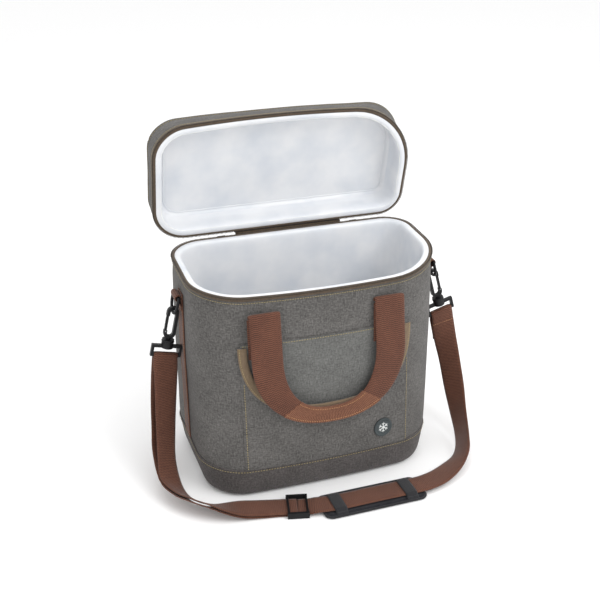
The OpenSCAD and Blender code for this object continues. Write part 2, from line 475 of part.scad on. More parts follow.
outer_shell();
bottom_band();
base_panel();
base_board();
foam_walls();
foam_base();
liner();
rim_zip();
rim_binding();
hinge_strip();
zip_stops();
pocket_back();
front_pocket();
pocket_binding();
badge();
front_handle_patches();
rear_handle_patches();
side_strap_left();
side_strap_right();
tab_left();
tab_right();
front_handle();
front_grip();
rear_handle();
rear_grip();
d_ring_left();
d_ring_right();
hook_left();
hook_right();
gate_pin_left();
gate_pin_right();
gate_left();
gate_right();
swivel_left();
swivel_right();
lid_shell();
lid_foam();
lid_liner();
lid_zip();
lid_piping();
zip_slider_left();
zip_pull_left();
zip_slider_right();
zip_pull_right();
strap_left();
strap_return();
strap_right();
triglide();
shoulder_pad();
pad_keepers();
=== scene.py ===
import bpy, bmesh, math
from mathutils import Vector, Matrix, noise


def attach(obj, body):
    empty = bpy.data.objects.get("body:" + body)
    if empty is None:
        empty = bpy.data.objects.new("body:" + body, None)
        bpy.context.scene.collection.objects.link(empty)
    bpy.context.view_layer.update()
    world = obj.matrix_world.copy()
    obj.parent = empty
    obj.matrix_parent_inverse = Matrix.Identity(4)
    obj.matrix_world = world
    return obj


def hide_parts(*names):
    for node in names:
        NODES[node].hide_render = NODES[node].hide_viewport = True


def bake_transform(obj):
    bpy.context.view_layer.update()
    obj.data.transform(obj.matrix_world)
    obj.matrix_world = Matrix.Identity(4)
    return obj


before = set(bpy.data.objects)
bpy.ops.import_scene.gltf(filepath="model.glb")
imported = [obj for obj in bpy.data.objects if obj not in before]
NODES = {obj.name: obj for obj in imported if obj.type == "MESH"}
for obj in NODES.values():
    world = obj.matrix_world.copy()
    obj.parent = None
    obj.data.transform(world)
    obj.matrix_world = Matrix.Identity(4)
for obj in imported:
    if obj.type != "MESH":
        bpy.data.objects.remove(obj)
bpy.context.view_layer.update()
scene = bpy.context.scene

# ------------------------------------------------------------------ camera
cam_data = bpy.data.cameras.new("camera")
cam = bpy.data.objects.new("camera", cam_data)
scene.collection.objects.link(cam)
scene.camera = cam
CAM_AZ, CAM_EL, CAM_R = math.radians(-19.4), math.radians(24.8), 1.2158
target = Vector((0.00084, 0.005, 0.2053))
back = Vector((math.sin(CAM_AZ) * math.cos(CAM_EL), -math.cos(CAM_AZ) * math.cos(CAM_EL), math.sin(CAM_EL)))
cam.location = target + back * CAM_R
cam.rotation_euler = back.to_track_quat("Z", "Y").to_euler()
cam_data.sensor_width = 36.0
cam_data.lens = 36.0 * 968.7 / 600.0
cam_data.clip_end = 20.0

# ------------------------------------------------------------------ bag form (mm)
RIM_W, BAND_W, BODY_H, TILT, RIM_BOW, BAND_H = 322.0, 300.0, 273.0, 4.0, 15.0, 42.0
RIM_SHIFT = 11.0
LID_H, LID_RIM_W, LID_TOP_W, LID_OPEN, LID_SHIFT = 44.0, 333.0, 328.0, 80.0, 3.5
HY, HZ = 86.0, BODY_H + 0.5


def lk(t, x):
    if x <= t[0][0]:
        return t[0][1]
    for (a, b), (c, d) in zip(t, t[1:]):
        if x <= c:
            return b + (d - b) * (x - a) / (c - a)
    return t[-1][1]


W_T = [(0, BAND_W - 22), (4, BAND_W - 15), (12, BAND_W - 10), (BAND_H, BAND_W), (BODY_H, RIM_W)]
YF_T = [(0, -88), (4, -92), (12, -94), (BAND_H, -96), (BODY_H, -74)]
YB_T = [(0, 83), (4, 87), (12, 89), (BAND_H, 91), (BODY_H, 84)]
RF_T = ([(0, 44), (12, 48), (BAND_H, 52), (BODY_H, 56)], [(0, 44), (12, 48), (BAND_H, 52), (BODY_H, 84)])
RB_T = ([(0, 40), (12, 43), (BAND_H, 45), (BODY_H, 44)], [(0, 40), (12, 43), (BAND_H, 45), (BODY_H, 34)])
BOW_T = [(0, 5), (12, 7), (BAND_H, 10), (BODY_H, RIM_BOW)]


def outline(w, yf, yb, rf, rb, bow, na=12, nb=30, ns=12, nf=46):
    x = w / 2

    def arc(cx, cy, r, a0):
        return [(cx + r * math.cos(math.radians(a0 + 90 * i / na)), cy + r * math.sin(math.radians(a0 + 90 * i / na))) for i in range(na + 1)]

    def seg(p, q, n):
        return [(p[0] + (q[0] - p[0]) * i / n, p[1] + (q[1] - p[1]) * i / n) for i in range(1, n)]
    fl, fr = rf
    bl, br = rb
    pts = arc(x - br, yb - br, br, 0) + seg((x - br, yb), (-x + bl, yb), nb) + arc(-x + bl, yb - bl, bl, 90)
    pts += seg((-x, yb - bl), (-x, yf + fl), ns) + arc(-x + fl, yf + fl, fl, 180) + seg((-x + fl, yf), (x - fr, yf), nf)
    pts += arc(x - fr, yf + fr, fr, 270) + seg((x, yf + fr), (x, yb - br), ns)
    out = []
    for px, py in pts:
        if py < 0:
            py -= bow * max(0.0, 1 - (2 * px / w) ** 2) * py / yf
        out.append((px, py))
    return out


def shift_at(z):
    return RIM_SHIFT * max(0.0, z - BAND_H) / (BODY_H - BAND_H)


def less(tables, z, ins):
    return tuple(max(4.0, lk(t, z) - ins) for t in tables)


def section(z, ins, **k):
    d = shift_at(z)
    return [(x + d, y) for x, y in outline(lk(W_T, z) - 2 * ins, lk(YF_T, z) + ins, lk(YB_T, z) - ins, less(RF_T, z, ins), less(RB_T, z, ins), lk(BOW_T, z), **k)]


def place(x, y, z):
    return Vector((x, y, z - (HY - y) * math.tan(math.radians(TILT)) * (max(z, 0) / BODY_H) ** 2))


def corner_y(x, w, yf, r):
    e = abs(x) - (w / 2 - r)
    return yf if e <= 0 else yf + r - math.sqrt(max(0.0, r * r - e * e))


def front_y(x, z):
    w, yf, u = lk(W_T, z), lk(YF_T, z), x - shift_at(z)
    by = corner_y(u, w, yf, lk(RF_T[0 if u < 0 else 1], z))
    return by - lk(BOW_T, z) * max(0.0, 1 - (2 * u / w) ** 2) * by / yf


def nz(x, y, z, s, seed=0.0):
    return noise.noise(Vector((x / s + seed, y / s - seed * 0.7, z / s + seed * 1.3)))


def soft(x, y, z):
    """How far the filled-out fabric of the wall stands off its nominal surface, in mm."""
    zz = z
    top = math.exp(-((zz - 262) / 7.0) ** 2)
    low = math.exp(-((zz - 43) / 4.0) ** 2)
    mid = math.sin(math.pi * min(1, max(0, (zz - 43) / 219.0)))
    s = 0.75 + 0.6 * mid + 0.85 * nz(x, y, z, 62, 3.1) * (0.4 + 0.6 * mid) + 0.28 * nz(x, y, z, 24, 7.7)
    return max(-0.35, s - 0.9 * top - 0.75 * low)


def normals2(pts):
    n = len(pts)
    out = []
    for i in range(n):
        a, b = pts[(i - 1) % n], pts[(i + 1) % n]
        dx, dy = b[0] - a[0], b[1] - a[1]
        L = math.hypot(dx, dy) or 1
        out.append((dy / L, -dx / L))
    return out


# ------------------------------------------------------------------ mesh building
def new_object(name, verts, faces, uvs=None, smooth=True, scale=0.001):
    me = bpy.data.meshes.new(name)
    me.from_pydata([tuple(c * scale for c in v) for v in verts], [], faces)
    if uvs is not None:
        lay = me.uv_layers.new(name="UVMap")
        for poly in me.polygons:
            for li, fu in zip(poly.loop_indices, uvs[poly.index]):
                lay.data[li].uv = (fu[0] * scale, fu[1] * scale)
    me.update()
    o = bpy.data.objects.new(name, me)
    scene.collection.objects.link(o)
    if smooth:
        for p in me.polygons:
            p.use_smooth = True
    return o


def loft(name, rings, loop_ring=True, loop_path=False, cap=False, u0=None, v0=None):
    """Skins equal rings of mm points; uvs in mm along the ring (u) and the path (v)."""
    m, n = len(rings), len(rings[0])
    verts = [p for r in rings for p in r]
    ref = rings[m // 2]
    us = [0.0]
    for j in range(1, n + 1):
        us.append(us[-1] + (Vector(ref[j % n]) - Vector(ref[j - 1])).length)
    vs = [0.0]
    for i in range(1, m + 1):
        a, b = rings[i - 1], rings[i % m]
        k = max(1, n // 8)
        vs.append(vs[-1] + sum((Vector(a[j]) - Vector(b[j])).length for j in range(0, n, k)) / len(range(0, n, k)))
    faces, uvs = [], []
    for i in range(m if loop_path else m - 1):
        i2 = (i + 1) % m
        for j in range(n if loop_ring else n - 1):
            j2 = (j + 1) % n
            faces.append((i * n + j, i * n + j2, i2 * n + j2, i2 * n + j))
            uvs.append(((us[j], vs[i]), (us[j + 1], vs[i]), (us[j + 1], vs[i + 1]), (us[j], vs[i + 1])))
    if cap in (True, "start"):
        faces.append(tuple(range(n - 1, -1, -1)))
        uvs.append([(us[j], 0) for j in range(n - 1, -1, -1)])
    if cap in (True, "end"):
        faces.append(tuple((m - 1) * n + j for j in range(n)))
        uvs.append([(us[j], vs[m - 1]) for j in range(n)])
    o = new_object(name, verts, faces, uvs)
    fix_normals(o)
    return o


def fix_normals(o):
    bm = bmesh.new()
    bm.from_mesh(o.data)
    bmesh.ops.recalc_face_normals(bm, faces=bm.faces)
    bm.to_mesh(o.data)
    bm.free()


def subsurf(o, n=1):
    m = o.modifiers.new("sub", "SUBSURF")
    m.levels = m.render_levels = n
    return o


def bevel(o, w=0.0005, seg=3, angle=35):
    m = o.modifiers.new("bevel", "BEVEL")
    m.width = w
    m.segments = seg
    m.limit_method = "ANGLE"
    m.angle_limit = math.radians(angle)
    m.harden_normals = False
    return o


def unit(v):
    v = Vector(v)
    return v / (v.length or 1)


def catmull(p, n):
    p = [Vector(q) for q in p]
    out = []
    for i in range(len(p) - 1):
        a, b, c, d = p[max(i - 1, 0)], p[i], p[i + 1], p[min(i + 2, len(p) - 1)]
        for k in range(n):
            t = k / n
            out.append(0.5 * (2 * b + (c - a) * t + (2 * a - 5 * b + 4 * c - d) * t * t + (3 * b - a - 3 * c + d) * t ** 3))
    out.append(p[-1])
    return out


def strip_rings(route, wide, w, t, nw=9, ridge=0.0):
    """Flat webbing with rounded selvedges: one ring of points at each route point. w and t may be lists."""
    m = len(route)
    rings = []
    for i in range(m):
        d = unit(route[min(i + 1, m - 1)] - route[max(i - 1, 0)])
        a = Vector(wide[i])
        a = unit(a - d * a.dot(d))
        b = d.cross(a)
        ww = w[i] if isinstance(w, (list, tuple)) else w
        tt = t[i] if isinstance(t, (list, tuple)) else t
        prof = []
        for k in range(nw):
            s = -1 + 2 * k / (nw - 1)
            e = max(0.0, 1 - abs(s) ** 14) ** 0.5
            prof.append((s * ww / 2, tt / 2 * max(0.35, e) * (1 + ridge * math.cos(s * math.pi * 3))))
        pts = [route[i] + a * x + b * y for x, y in prof] + [route[i] + a * x - b * y for x, y in reversed(prof)]
        rings.append(pts)
    return rings


def strip(name, route, wide, w, t, nw=9, cap=True):
    route = [Vector(p) for p in route]
    o = loft(name, strip_rings(route, wide, w, t, nw), True, False, cap)
    # u across the width, v along the length
    lay = o.data.uv_layers[0]
    n = 2 * nw
    m = len(route)
    vs = [0.0]
    for i in range(1, m):
        vs.append(vs[-1] + (route[i] - route[i - 1]).length)
    for poly in o.data.polygons:
        for li in poly.loop_indices:
            vi = o.data.loops[li].vertex_index
            i, j = vi // n, vi % n
            k = j if j < nw else 2 * nw - 1 - j
            ww = w[i] if isinstance(w, (list, tuple)) else w
            lay.data[li].uv = ((k / (nw - 1) - 0.5) * ww * 0.001, vs[i] * 0.001)
    return o


def capsule(verts, faces, a, b, r, up, flat=0.75, ns=6, arch=0.0):
    """One short thread or tooth between two points, rounded at both ends."""
    d = unit(b - a)
    u = unit(Vector(up) - d * Vector(up).dot(d))
    v = d.cross(u)
    L = (b - a).length
    base = len(verts)
    stations = [(0.0, 0.0), (0.1, 0.62), (0.3, 1.0), (0.7, 1.0), (0.9, 0.62), (1.0, 0.0)]
    verts.append(tuple(a))
    for f, k in stations[1:-1]:
        c = a + d * (L * f) + u * (arch * math.sin(math.pi * f))
        for j in range(ns):
            th = 2 * math.pi * j / ns
            verts.append(tuple(c + u * (math.sin(th) * r * k * flat) + v * (math.cos(th) * r * k)))
    verts.append(tuple(b))
    end = len(verts) - 1
    for j in range(ns):
        faces.append((base, base + 1 + (j + 1) % ns, base + 1 + j))
    for i in range(3):
        for j in range(ns):
            p = base + 1 + i * ns
            faces.append((p + j, p + (j + 1) % ns, p + ns + (j + 1) % ns, p + ns + j))
    p = base + 1 + 3 * ns
    for j in range(ns):
        faces.append((end, p + j, p + (j + 1) % ns))


def resample(pts, step, closed=False):
    pts = [Vector(p) for p in pts]
    if closed:
        pts = pts + [pts[0]]
    cum = [0.0]
    for a, b in zip(pts, pts[1:]):
        cum.append(cum[-1] + (b - a).length)
    n = max(2, round(cum[-1] / step))
    out, k = [], 0
    for i in range(n if closed else n + 1):
        s = cum[-1] * i / n
        while k < len(cum) - 2 and cum[k + 1] < s:
            k += 1
        f = (s - cum[k]) / ((cum[k + 1] - cum[k]) or 1)
        out.append(pts[k].lerp(pts[k + 1], f))
    return out


class Threads:
    """Collects stitches of one colour on one body into one piece."""

    def __init__(self, name, body, mat):
        self.name, self.body, self.mat, self.v, self.f = name, body, mat, [], []

    def run(self, pts, up, pitch=3.2, length=2.3, r=0.38, closed=False, lift=0.12):
        p = resample(pts, pitch, closed)
        m = len(p)
        for i in range(m if closed else m - 1):
            a, b = p[i], p[(i + 1) % m]
            u = up(a) if callable(up) else Vector(up)
            u = unit(u)
            d = (b - a) * (length / pitch)
            capsule(self.v, self.f, a + u * lift, a + d + u * lift, r, u)

    def done(self, slot=None):
        if not self.v:
            return None
        o = new_object(self.name, self.v, self.f)
        o.data.materials.append(self.mat)
        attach(o, self.body)
        return o


# ------------------------------------------------------------------ materials
def srgb(r, g, b):
    def c(x):
        x = x / 255.0
        return x / 12.92 if x <= 0.04045 else ((x + 0.055) / 1.055) ** 2.4
    return (c(r), c(g), c(b), 1.0)


class Mat:
    def __init__(self, name):
        self.m = bpy.data.materials.new(name)
        self.m.use_nodes = True
        self.t = self.m.node_tree
        self.b = self.t.nodes["Principled BSDF"]

    def n(self, kind, **kw):
        x = self.t.nodes.new(kind)
        for k, v in kw.items():
            if k == "inputs":
                for a, b in v.items():
                    x.inputs[a].default_value = b
            else:
                setattr(x, k, v)
        return x

    def l(self, a, b):
        self.t.links.new(a, b)

    def math(self, op, a, b=None, clamp=False):
        x = self.n("ShaderNodeMath", operation=op, use_clamp=clamp)
        for i, v in enumerate((a, b)):
            if v is None:
                continue
            if hasattr(v, "links") or hasattr(v, "is_linked"):
                self.l(v, x.inputs[i])
            else:
                x.inputs[i].default_value = v
        return x.outputs[0]

    def ramp(self, fac, stops):
        x = self.n("ShaderNodeValToRGB")
        e = x.color_ramp.elements
        while len(e) < len(stops):
            e.new(0.5)
        for el, (p, c) in zip(e, stops):
            el.position = p
            el.color = c
        self.l(fac, x.inputs[0])
        return x.outputs[0]

    def coords(self, uv=True, scale=(1, 1, 1), rot=0.0):
        if uv:
            c = self.n("ShaderNodeUVMap", uv_map="UVMap").outputs[0]
        else:
            c = self.n("ShaderNodeTexCoord").outputs["Object"]
        mp = self.n("ShaderNodeMapping")
        mp.inputs["Scale"].default_value = scale
        mp.inputs["Rotation"].default_value = (0, 0, rot)
        self.l(c, mp.inputs[0])
        return mp.outputs[0]

    def noise(self, vec, scale=1.0, detail=2.0, rough=0.5):
        x = self.n("ShaderNodeTexNoise", inputs={"Scale": scale, "Detail": detail, "Roughness": rough})
        self.l(vec, x.inputs["Vector"])
        return x.outputs["Fac"]

    def bump(self, heights, dist=0.0003, strength=1.0):
        x = self.n("ShaderNodeBump", inputs={"Strength": strength, "Distance": dist})
        self.l(heights, x.inputs["Height"])
        self.l(x.outputs[0], self.b.inputs["Normal"])
        return x

    def mix(self, fac, a, b, blend="MIX"):
        x = self.n("ShaderNodeMix", data_type="RGBA", blend_type=blend)
        for sock, v in ((x.inputs[0], fac), (x.inputs[6], a), (x.inputs[7], b)):
            if hasattr(v, "is_linked"):
                self.l(v, sock)
            else:
                sock.default_value = v
        return x.outputs[2]


def canvas(name, base, uv=True, spread=0.16, pitch=0.00072, sheen=0.08, rough=0.9, warm=(1, 1, 1)):
    """Heather plain-weave polyester: mixed light and dark yarns, a slub in both directions and a fine woven relief."""
    m = Mat(name)
    dark = tuple(c * (1 - spread * 1.5) * w for c, w in zip(base[:3], warm)) + (1,)
    light = tuple(min(1, c * (1 + spread * 1.7)) * w for c, w in zip(base[:3], warm)) + (1,)
    c = m.coords(uv)
    sep = m.n("ShaderNodeSeparateXYZ")
    m.l(c, sep.inputs[0])
    k = 2 * math.pi / (2 * pitch)
    if uv:
        su = m.math("SINE", m.math("MULTIPLY", sep.outputs[0], k))
        sv = m.math("SINE", m.math("MULTIPLY", sep.outputs[1], k))
    else:
        su = m.math("SINE", m.math("MULTIPLY", m.math("ADD", sep.outputs[0], sep.outputs[1]), k))
        sv = m.math("SINE", m.math("MULTIPLY", sep.outputs[2], k))
    over = m.math("MULTIPLY", su, sv)
    ridge = m.math("MAXIMUM", m.math("ABSOLUTE", su), m.math("ABSOLUTE", sv))
    h = m.math("ADD", m.math("MULTIPLY", over, 0.35), m.math("MULTIPLY", ridge, 0.65))
    yarn_u = m.noise(m.coords(uv, (1400, 110, 900)), 1.0, 2.0)
    yarn_v = m.noise(m.coords(uv, (110, 1400, 160)), 1.0, 2.0)
    heather = m.noise(m.coords(uv, (420, 420, 420)), 1.0, 3.0, 0.65)
    cloud = m.noise(m.coords(uv, (26, 26, 26)), 1.0, 2.0)
    f = m.math("ADD", m.math("MULTIPLY", yarn_u, 0.36), m.math("MULTIPLY", yarn_v, 0.36))
    f = m.math("ADD", f, m.math("MULTIPLY", heather, 0.5))
    f = m.math("ADD", f, m.math("MULTIPLY", cloud, 0.16))
    f = m.math("ADD", f, m.math("MULTIPLY", over, 0.05))
    col = m.ramp(f, [(0.5, dark), (0.7, base), (0.88, light)])
    m.l(col, m.b.inputs["Base Color"])
    m.bump(m.math("ADD", h, m.math("MULTIPLY", heather, 0.8)), 0.00022, 0.7)
    m.b.inputs["Roughness"].default_value = rough
    m.b.inputs["Sheen Weight"].default_value = sheen
    m.b.inputs["Sheen Roughness"].default_value = 0.5
    m.b.inputs["Specular IOR Level"].default_value = 0.12
    return m.m


def webbing(name, base, light, pitch=0.0021, ribs=0.0016, rough=0.78, edge=0.0):
    """Ribbed webbing: a weft rib across the strap and a chevron of warp yarns; the edge argument for a firmer selvedge
    is not used.
    """
    m = Mat(name)
    c = m.coords(True)
    sep = m.n("ShaderNodeSeparateXYZ")
    m.l(c, sep.inputs[0])
    u, v = sep.outputs[0], sep.outputs[1]
    # chevron: the rib's phase slides with the distance from the nearest warp column
    colw = 0.0052
    frac = m.math("ABSOLUTE", m.math("SUBTRACT", m.math("FRACT", m.math("DIVIDE", u, colw)), 0.5))
    phase = m.math("ADD", m.math("MULTIPLY", v, 2 * math.pi / pitch), m.math("MULTIPLY", frac, 5.0))
    rib = m.math("MULTIPLY", m.math("ADD", m.math("SINE", phase), 1.0), 0.5)
    warp = m.math("MULTIPLY", m.math("ADD", m.math("SINE", m.math("MULTIPLY", u, 2 * math.pi / ribs)), 1.0), 0.5)
    h = m.math("ADD", m.math("MULTIPLY", rib, 0.75), m.math("MULTIPLY", warp, 0.35))
    yarn = m.noise(m.coords(True, (900, 160, 1)), 1.0, 3.0, 0.6)
    cloud = m.noise(m.coords(True, (40, 22, 1)), 1.0, 2.0)
    f = m.math("ADD", m.math("MULTIPLY", yarn, 0.45), m.math("MULTIPLY", cloud, 0.25))
    # painted shade and highlight: the rib term, which also drives the bump, darkens the grooves and lightens the
    # crests; the yarn and cloud noise are the webbing's own tone
    f = m.math("ADD", f, m.math("MULTIPLY", rib, 0.42))
    dark = tuple(x * 0.42 for x in base[:3]) + (1,)
    col = m.ramp(f, [(0.28, dark), (0.52, base), (0.85, light)])
    m.l(col, m.b.inputs["Base Color"])
    m.bump(h, 0.0004, 0.75)
    m.b.inputs["Roughness"].default_value = rough
    m.b.inputs["Sheen Weight"].default_value = 0.15
    m.b.inputs["Specular IOR Level"].default_value = 0.3
    return m.m


def plastic(name, base, rough=0.38, grain=900, uvfree=True, bump=0.00006):
    m = Mat(name)
    c = m.coords(False)
    g = m.noise(c, grain, 3.0, 0.6)
    w = m.noise(c, 60.0, 2.0)
    dark = tuple(x * 0.85 for x in base[:3]) + (1,)
    light = tuple(min(1, x * 1.25 + 0.004) for x in base[:3]) + (1,)
    m.l(m.ramp(w, [(0.3, dark), (0.7, light)]), m.b.inputs["Base Color"])
    m.l(m.math("ADD", m.math("MULTIPLY", g, 0.22), rough - 0.1), m.b.inputs["Roughness"])
    m.bump(g, bump, 0.6)
    return m.m


def film(name, base, shade):
    """White welded liner film with a fine linen emboss."""
    m = Mat(name)
    c = m.coords(True)
    sep = m.n("ShaderNodeSeparateXYZ")
    m.l(c, sep.inputs[0])
    k = 2 * math.pi / 0.0018
    su = m.math("SINE", m.math("MULTIPLY", sep.outputs[0], k))
    sv = m.math("SINE", m.math("MULTIPLY", sep.outputs[1], k))
    em = m.math("MULTIPLY", su, sv)
    big = m.noise(m.coords(True, (18, 18, 18)), 1.0, 3.0)
    fine = m.noise(m.coords(True, (220, 220, 220)), 1.0, 2.0)
    # painted shade: the low spots of the broad noise, which the bump also sinks, take a bluish grey in place of the
    # white
    m.l(m.ramp(big, [(0.3, shade), (0.6, base)]), m.b.inputs["Base Color"])
    m.l(m.math("ADD", m.math("MULTIPLY", fine, 0.2), 0.3), m.b.inputs["Roughness"])
    h = m.math("ADD", m.math("MULTIPLY", em, 0.25), m.math("MULTIPLY", big, 6.0))
    m.bump(h, 0.0002, 0.35)
    m.b.inputs["Specular IOR Level"].default_value = 0.45
    m.b.inputs["Coat Weight"].default_value = 0.12
    m.b.inputs["Coat Roughness"].default_value = 0.25
    return m.m


def thread_mat(name, base):
    m = Mat(name)
    c = m.coords(False)
    tw = m.n("ShaderNodeTexWave", wave_type="BANDS", bands_direction="DIAGONAL", inputs={"Scale": 900.0, "Distortion": 1.5})
    m.l(c, tw.inputs["Vector"])
    dark = tuple(x * 0.7 for x in base[:3]) + (1,)
    # painted shade: the twist bands, which also drive the bump, darken the thread in its twist grooves
    m.l(m.ramp(tw.outputs["Fac"], [(0.2, dark), (0.7, base)]), m.b.inputs["Base Color"])
    m.bump(tw.outputs["Fac"], 0.0001, 0.5)
    m.b.inputs["Roughness"].default_value = 0.6
    return m.m


M_CANVAS = canvas("canvas", srgb(92, 90, 88), spread=0.42)
M_BAND = canvas("band_canvas", srgb(82, 78, 77), spread=0.4)
M_BACKP = canvas("light_canvas", srgb(100, 100, 98), spread=0.32)
M_CANVAS_O = canvas("canvas_object", srgb(92, 90, 88), uv=False, spread=0.35)
M_WEB = webbing("webbing", srgb(84, 49, 35), srgb(118, 76, 57))
M_WEB2 = webbing("webbing_handle", srgb(82, 47, 33), srgb(114, 71, 52), pitch=0.0024)
M_GRIP = webbing("grip_webbing", srgb(100, 61, 43), srgb(136, 91, 67), pitch=0.0019)
M_TAN = webbing("tan_binding", srgb(114, 96, 76), srgb(142, 121, 97), pitch=0.0013, ribs=0.0012)
M_TAPE = webbing("zip_tape", srgb(74, 62, 50), srgb(104, 88, 70), pitch=0.0012, ribs=0.0011)
M_COIL = plastic("zip_coil", srgb(58, 50, 42), 0.4, 1200)
# the second colour is a bluish grey painted as shade in the film's dents
M_LINER = film("liner_film", srgb(226, 227, 229), srgb(208, 212, 218))
M_FOAM = plastic("foam", srgb(236, 234, 226), 0.8, 500, bump=0.0003)
M_BLACK = plastic("black_plastic", srgb(17, 17, 19), 0.42)
M_BLACK.node_tree.nodes["Principled BSDF"].inputs["Specular IOR Level"].default_value = 0.22
M_PADF = canvas("pad_knit", srgb(36, 36, 40), uv=False, spread=0.35, pitch=0.0011, rough=0.9)
M_PADB = webbing("pad_binding", srgb(26, 26, 29), srgb(48, 48, 52), pitch=0.0014)
M_DARKM = plastic("dark_metal", srgb(46, 44, 43), 0.3, 700)
M_DARKM.node_tree.nodes["Principled BSDF"].inputs["Metallic"].default_value = 0.85
M_STEEL = plastic("steel", srgb(150, 150, 152), 0.3, 700)
M_STEEL.node_tree.nodes["Principled BSDF"].inputs["Metallic"].default_value = 1.0
M_BADGE = plastic("badge_rubber", srgb(44, 52, 54), 0.5, 1000)
M_BADGE2 = plastic("badge_relief", srgb(205, 208, 206), 0.45, 1000)
M_THREAD = thread_mat("thread_olive", srgb(168, 152, 104))
M_THREAD_D = thread_mat("thread_dark", srgb(92, 78, 58))
M_THREAD_B = thread_mat("thread_brown", srgb(176, 126, 84))
M_THREAD_K = thread_mat("thread_black", srgb(62, 62, 66))


def give(o, mat):
    o.data.materials.clear()
    o.data.materials.append(mat)


T_OLIVE = Threads("stitch_body", "bag", M_THREAD)
T_DARK = Threads("stitch_rim", "bag", M_THREAD)
T_BROWN = Threads("stitch_webbing", "bag", M_THREAD_B)
T_LID = Threads("stitch_lid", "lid", M_THREAD)

# ------------------------------------------------------------------ body shell and band


def wall_ring(z, off, wobble=1.0, zshift=0.0, **k):
    pts = section(z, 0, **k)
    nn = normals2(pts)
    out = []
    for (x, y), (nx, ny) in zip(pts, nn):
        d = off + wobble * soft(x, y, z)
        out.append(place(x + nx * d, y + ny * d, z) + Vector((0, 0, zshift)))
    return out


levels = [42.5, 44, 46.5] + [50 + 5.6 * i for i in range(38)] + [262, 264.5, 267, 269.4]
shell = loft("body_canvas", [wall_ring(z, 0.0) for z in levels])
give(shell, M_CANVAS)
subsurf(shell, 1)
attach(shell, "bag")
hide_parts("outer_shell")

band_prof = [(0.35, -30, 0), (0.25, -8.0, 0), (0.3, -2.4, 0), (1.2, -0.4, 0), (2.8, 0.55, 0), (5.5, 0.95, 0.3), (9, 1.05, 0.5), (14, 1.05, 0.6), (20, 1.05, 0.6),
             (26, 1.05, 0.6), (32, 1.05, 0.6), (37, 1.1, 0.5), (40, 1.05, 0.3), (41.6, 1.35, 0.2), (42.8, 1.5, 0.15), (43.5, 1.2, 0.1), (43.7, 0.4, 0.1), (43.2, -0.2, 0.1)]
rings = []
for z, off, wob in band_prof:
    pts = section(z, 0)
    nn = normals2(pts)
    if off <= -8:
        pts = section(z, -off)
        rings.append([Vector((x, y, z)) for x, y in pts])
        continue
    r = []
    for (x, y), (nx, ny) in zip(pts, nn):
        d = off + wob * (0.7 * nz(x, y, z, 45, 5.0) + 0.35 * nz(x, y, z, 18, 2.0))
        r.append(place(x + nx * d, y + ny * d, z))
    rings.append(r)
c = [Vector((v.x * 0.5, v.y * 0.5, 0.4)) for v in rings[0]]
rings = [[Vector((v.x * 0.03, v.y * 0.03, 0.4)) for v in rings[0]], [Vector((v.x * 0.1, v.y * 0.1, 0.4)) for v in rings[0]], c] + rings
band = loft("bottom_band_canvas", rings, cap="start")
give(band, M_BAND)
subsurf(band, 1)
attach(band, "bag")
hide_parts("bottom_band", "base_panel")
# the middle of the underside is closed by the band's inner rings and start cap above
n0 = len(rings[0])

for zz, off in ((40.2, 1.75),):
    T_OLIVE.run([place(x + nx * off, y + ny * off, zz) for (x, y), (nx, ny) in zip(section(zz, 0), normals2(section(zz, 0)))],
                lambda p: Vector((p.x / 160.0, p.y / 95.0, 0)), closed=True, pitch=3.4, r=0.42)

# ------------------------------------------------------------------ rim: tape, coil, binding


def edge_ring(z, d, k=1.0):
    pts = section(z, 0)
    nn = normals2(pts)
    return [place(x + nx * d, y + ny * d, z) for (x, y), (nx, ny) in zip(pts, nn)]


tape = loft("rim_tape", [edge_ring(z, d) for z, d in ((267.7, 0.1), (267.5, 0.8), (267.9, 1.3), (269, 1.35), (270.2, 1.35), (270.9, 1.1), (271.0, 0.3))])
give(tape, M_TAPE)
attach(tape, "bag")
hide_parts("rim_zip")
T_DARK.run(edge_ring(265.0, 0.75), lambda p: Vector((p.x / 160.0, p.y / 90.0, 0)), closed=True, pitch=3.0, length=2.2, r=0.4)


def coil(name, path, outs, ups, body, mat, pitch=1.7, wid=1.9, r=0.52):
    v, f = [], []
    pts = resample(path, pitch, True)
    n = len(pts)
    for i, p in enumerate(pts):
        t = unit(pts[(i + 1) % n] - pts[i - 1])
        o_ = outs(p)
        u_ = ups(p)
        o_ = unit(o_ - t * o_.dot(t))
        a = p - o_ * wid * 0.5 + t * 0.25
        b = p + o_ * wid * 0.5 - t * 0.25
        capsule(v, f, a, b, r, u_, flat=1.0, arch=0.35)
    o = new_object(name, v, f)
    o.data.materials.append(mat)
    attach(o, body)
    return o


coil("rim_coil", edge_ring(271.6, 1.2), lambda p: Vector((p.x / 160.0, p.y / 90.0, 0)), lambda p: Vector((0, 0, 1)), "bag", M_COIL)
bind = loft("rim_binding_tape", [edge_ring(z, d) for z, d in ((270.2, 0.35), (271.5, 0.3), (272.2, -0.2), (272.4, -1.2), (272.2, -2.3), (271.5, -2.9), (270.4, -3.0))])
give(bind, M_TAPE)
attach(bind, "bag")
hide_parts("rim_binding")

# ------------------------------------------------------------------ liner


def liner_ring(z, ins, amp):
    pts = section(z, ins)
    nn = normals2(pts)
    out = []
    for (x, y), (nx, ny) in zip(pts, nn):
        a = math.atan2(y, x)
        fold = 0.5 + 0.5 * nz(math.cos(a) * 160, math.sin(a) * 160, z * 0.22, 21, 9.0)
        d = amp * (1.7 * max(0, fold) ** 1.5 + 0.6 * (0.5 + 0.5 * nz(x, y, z, 30, 4.4)))
        out.append(place(x - nx * d, y - ny * d, z))
    return out


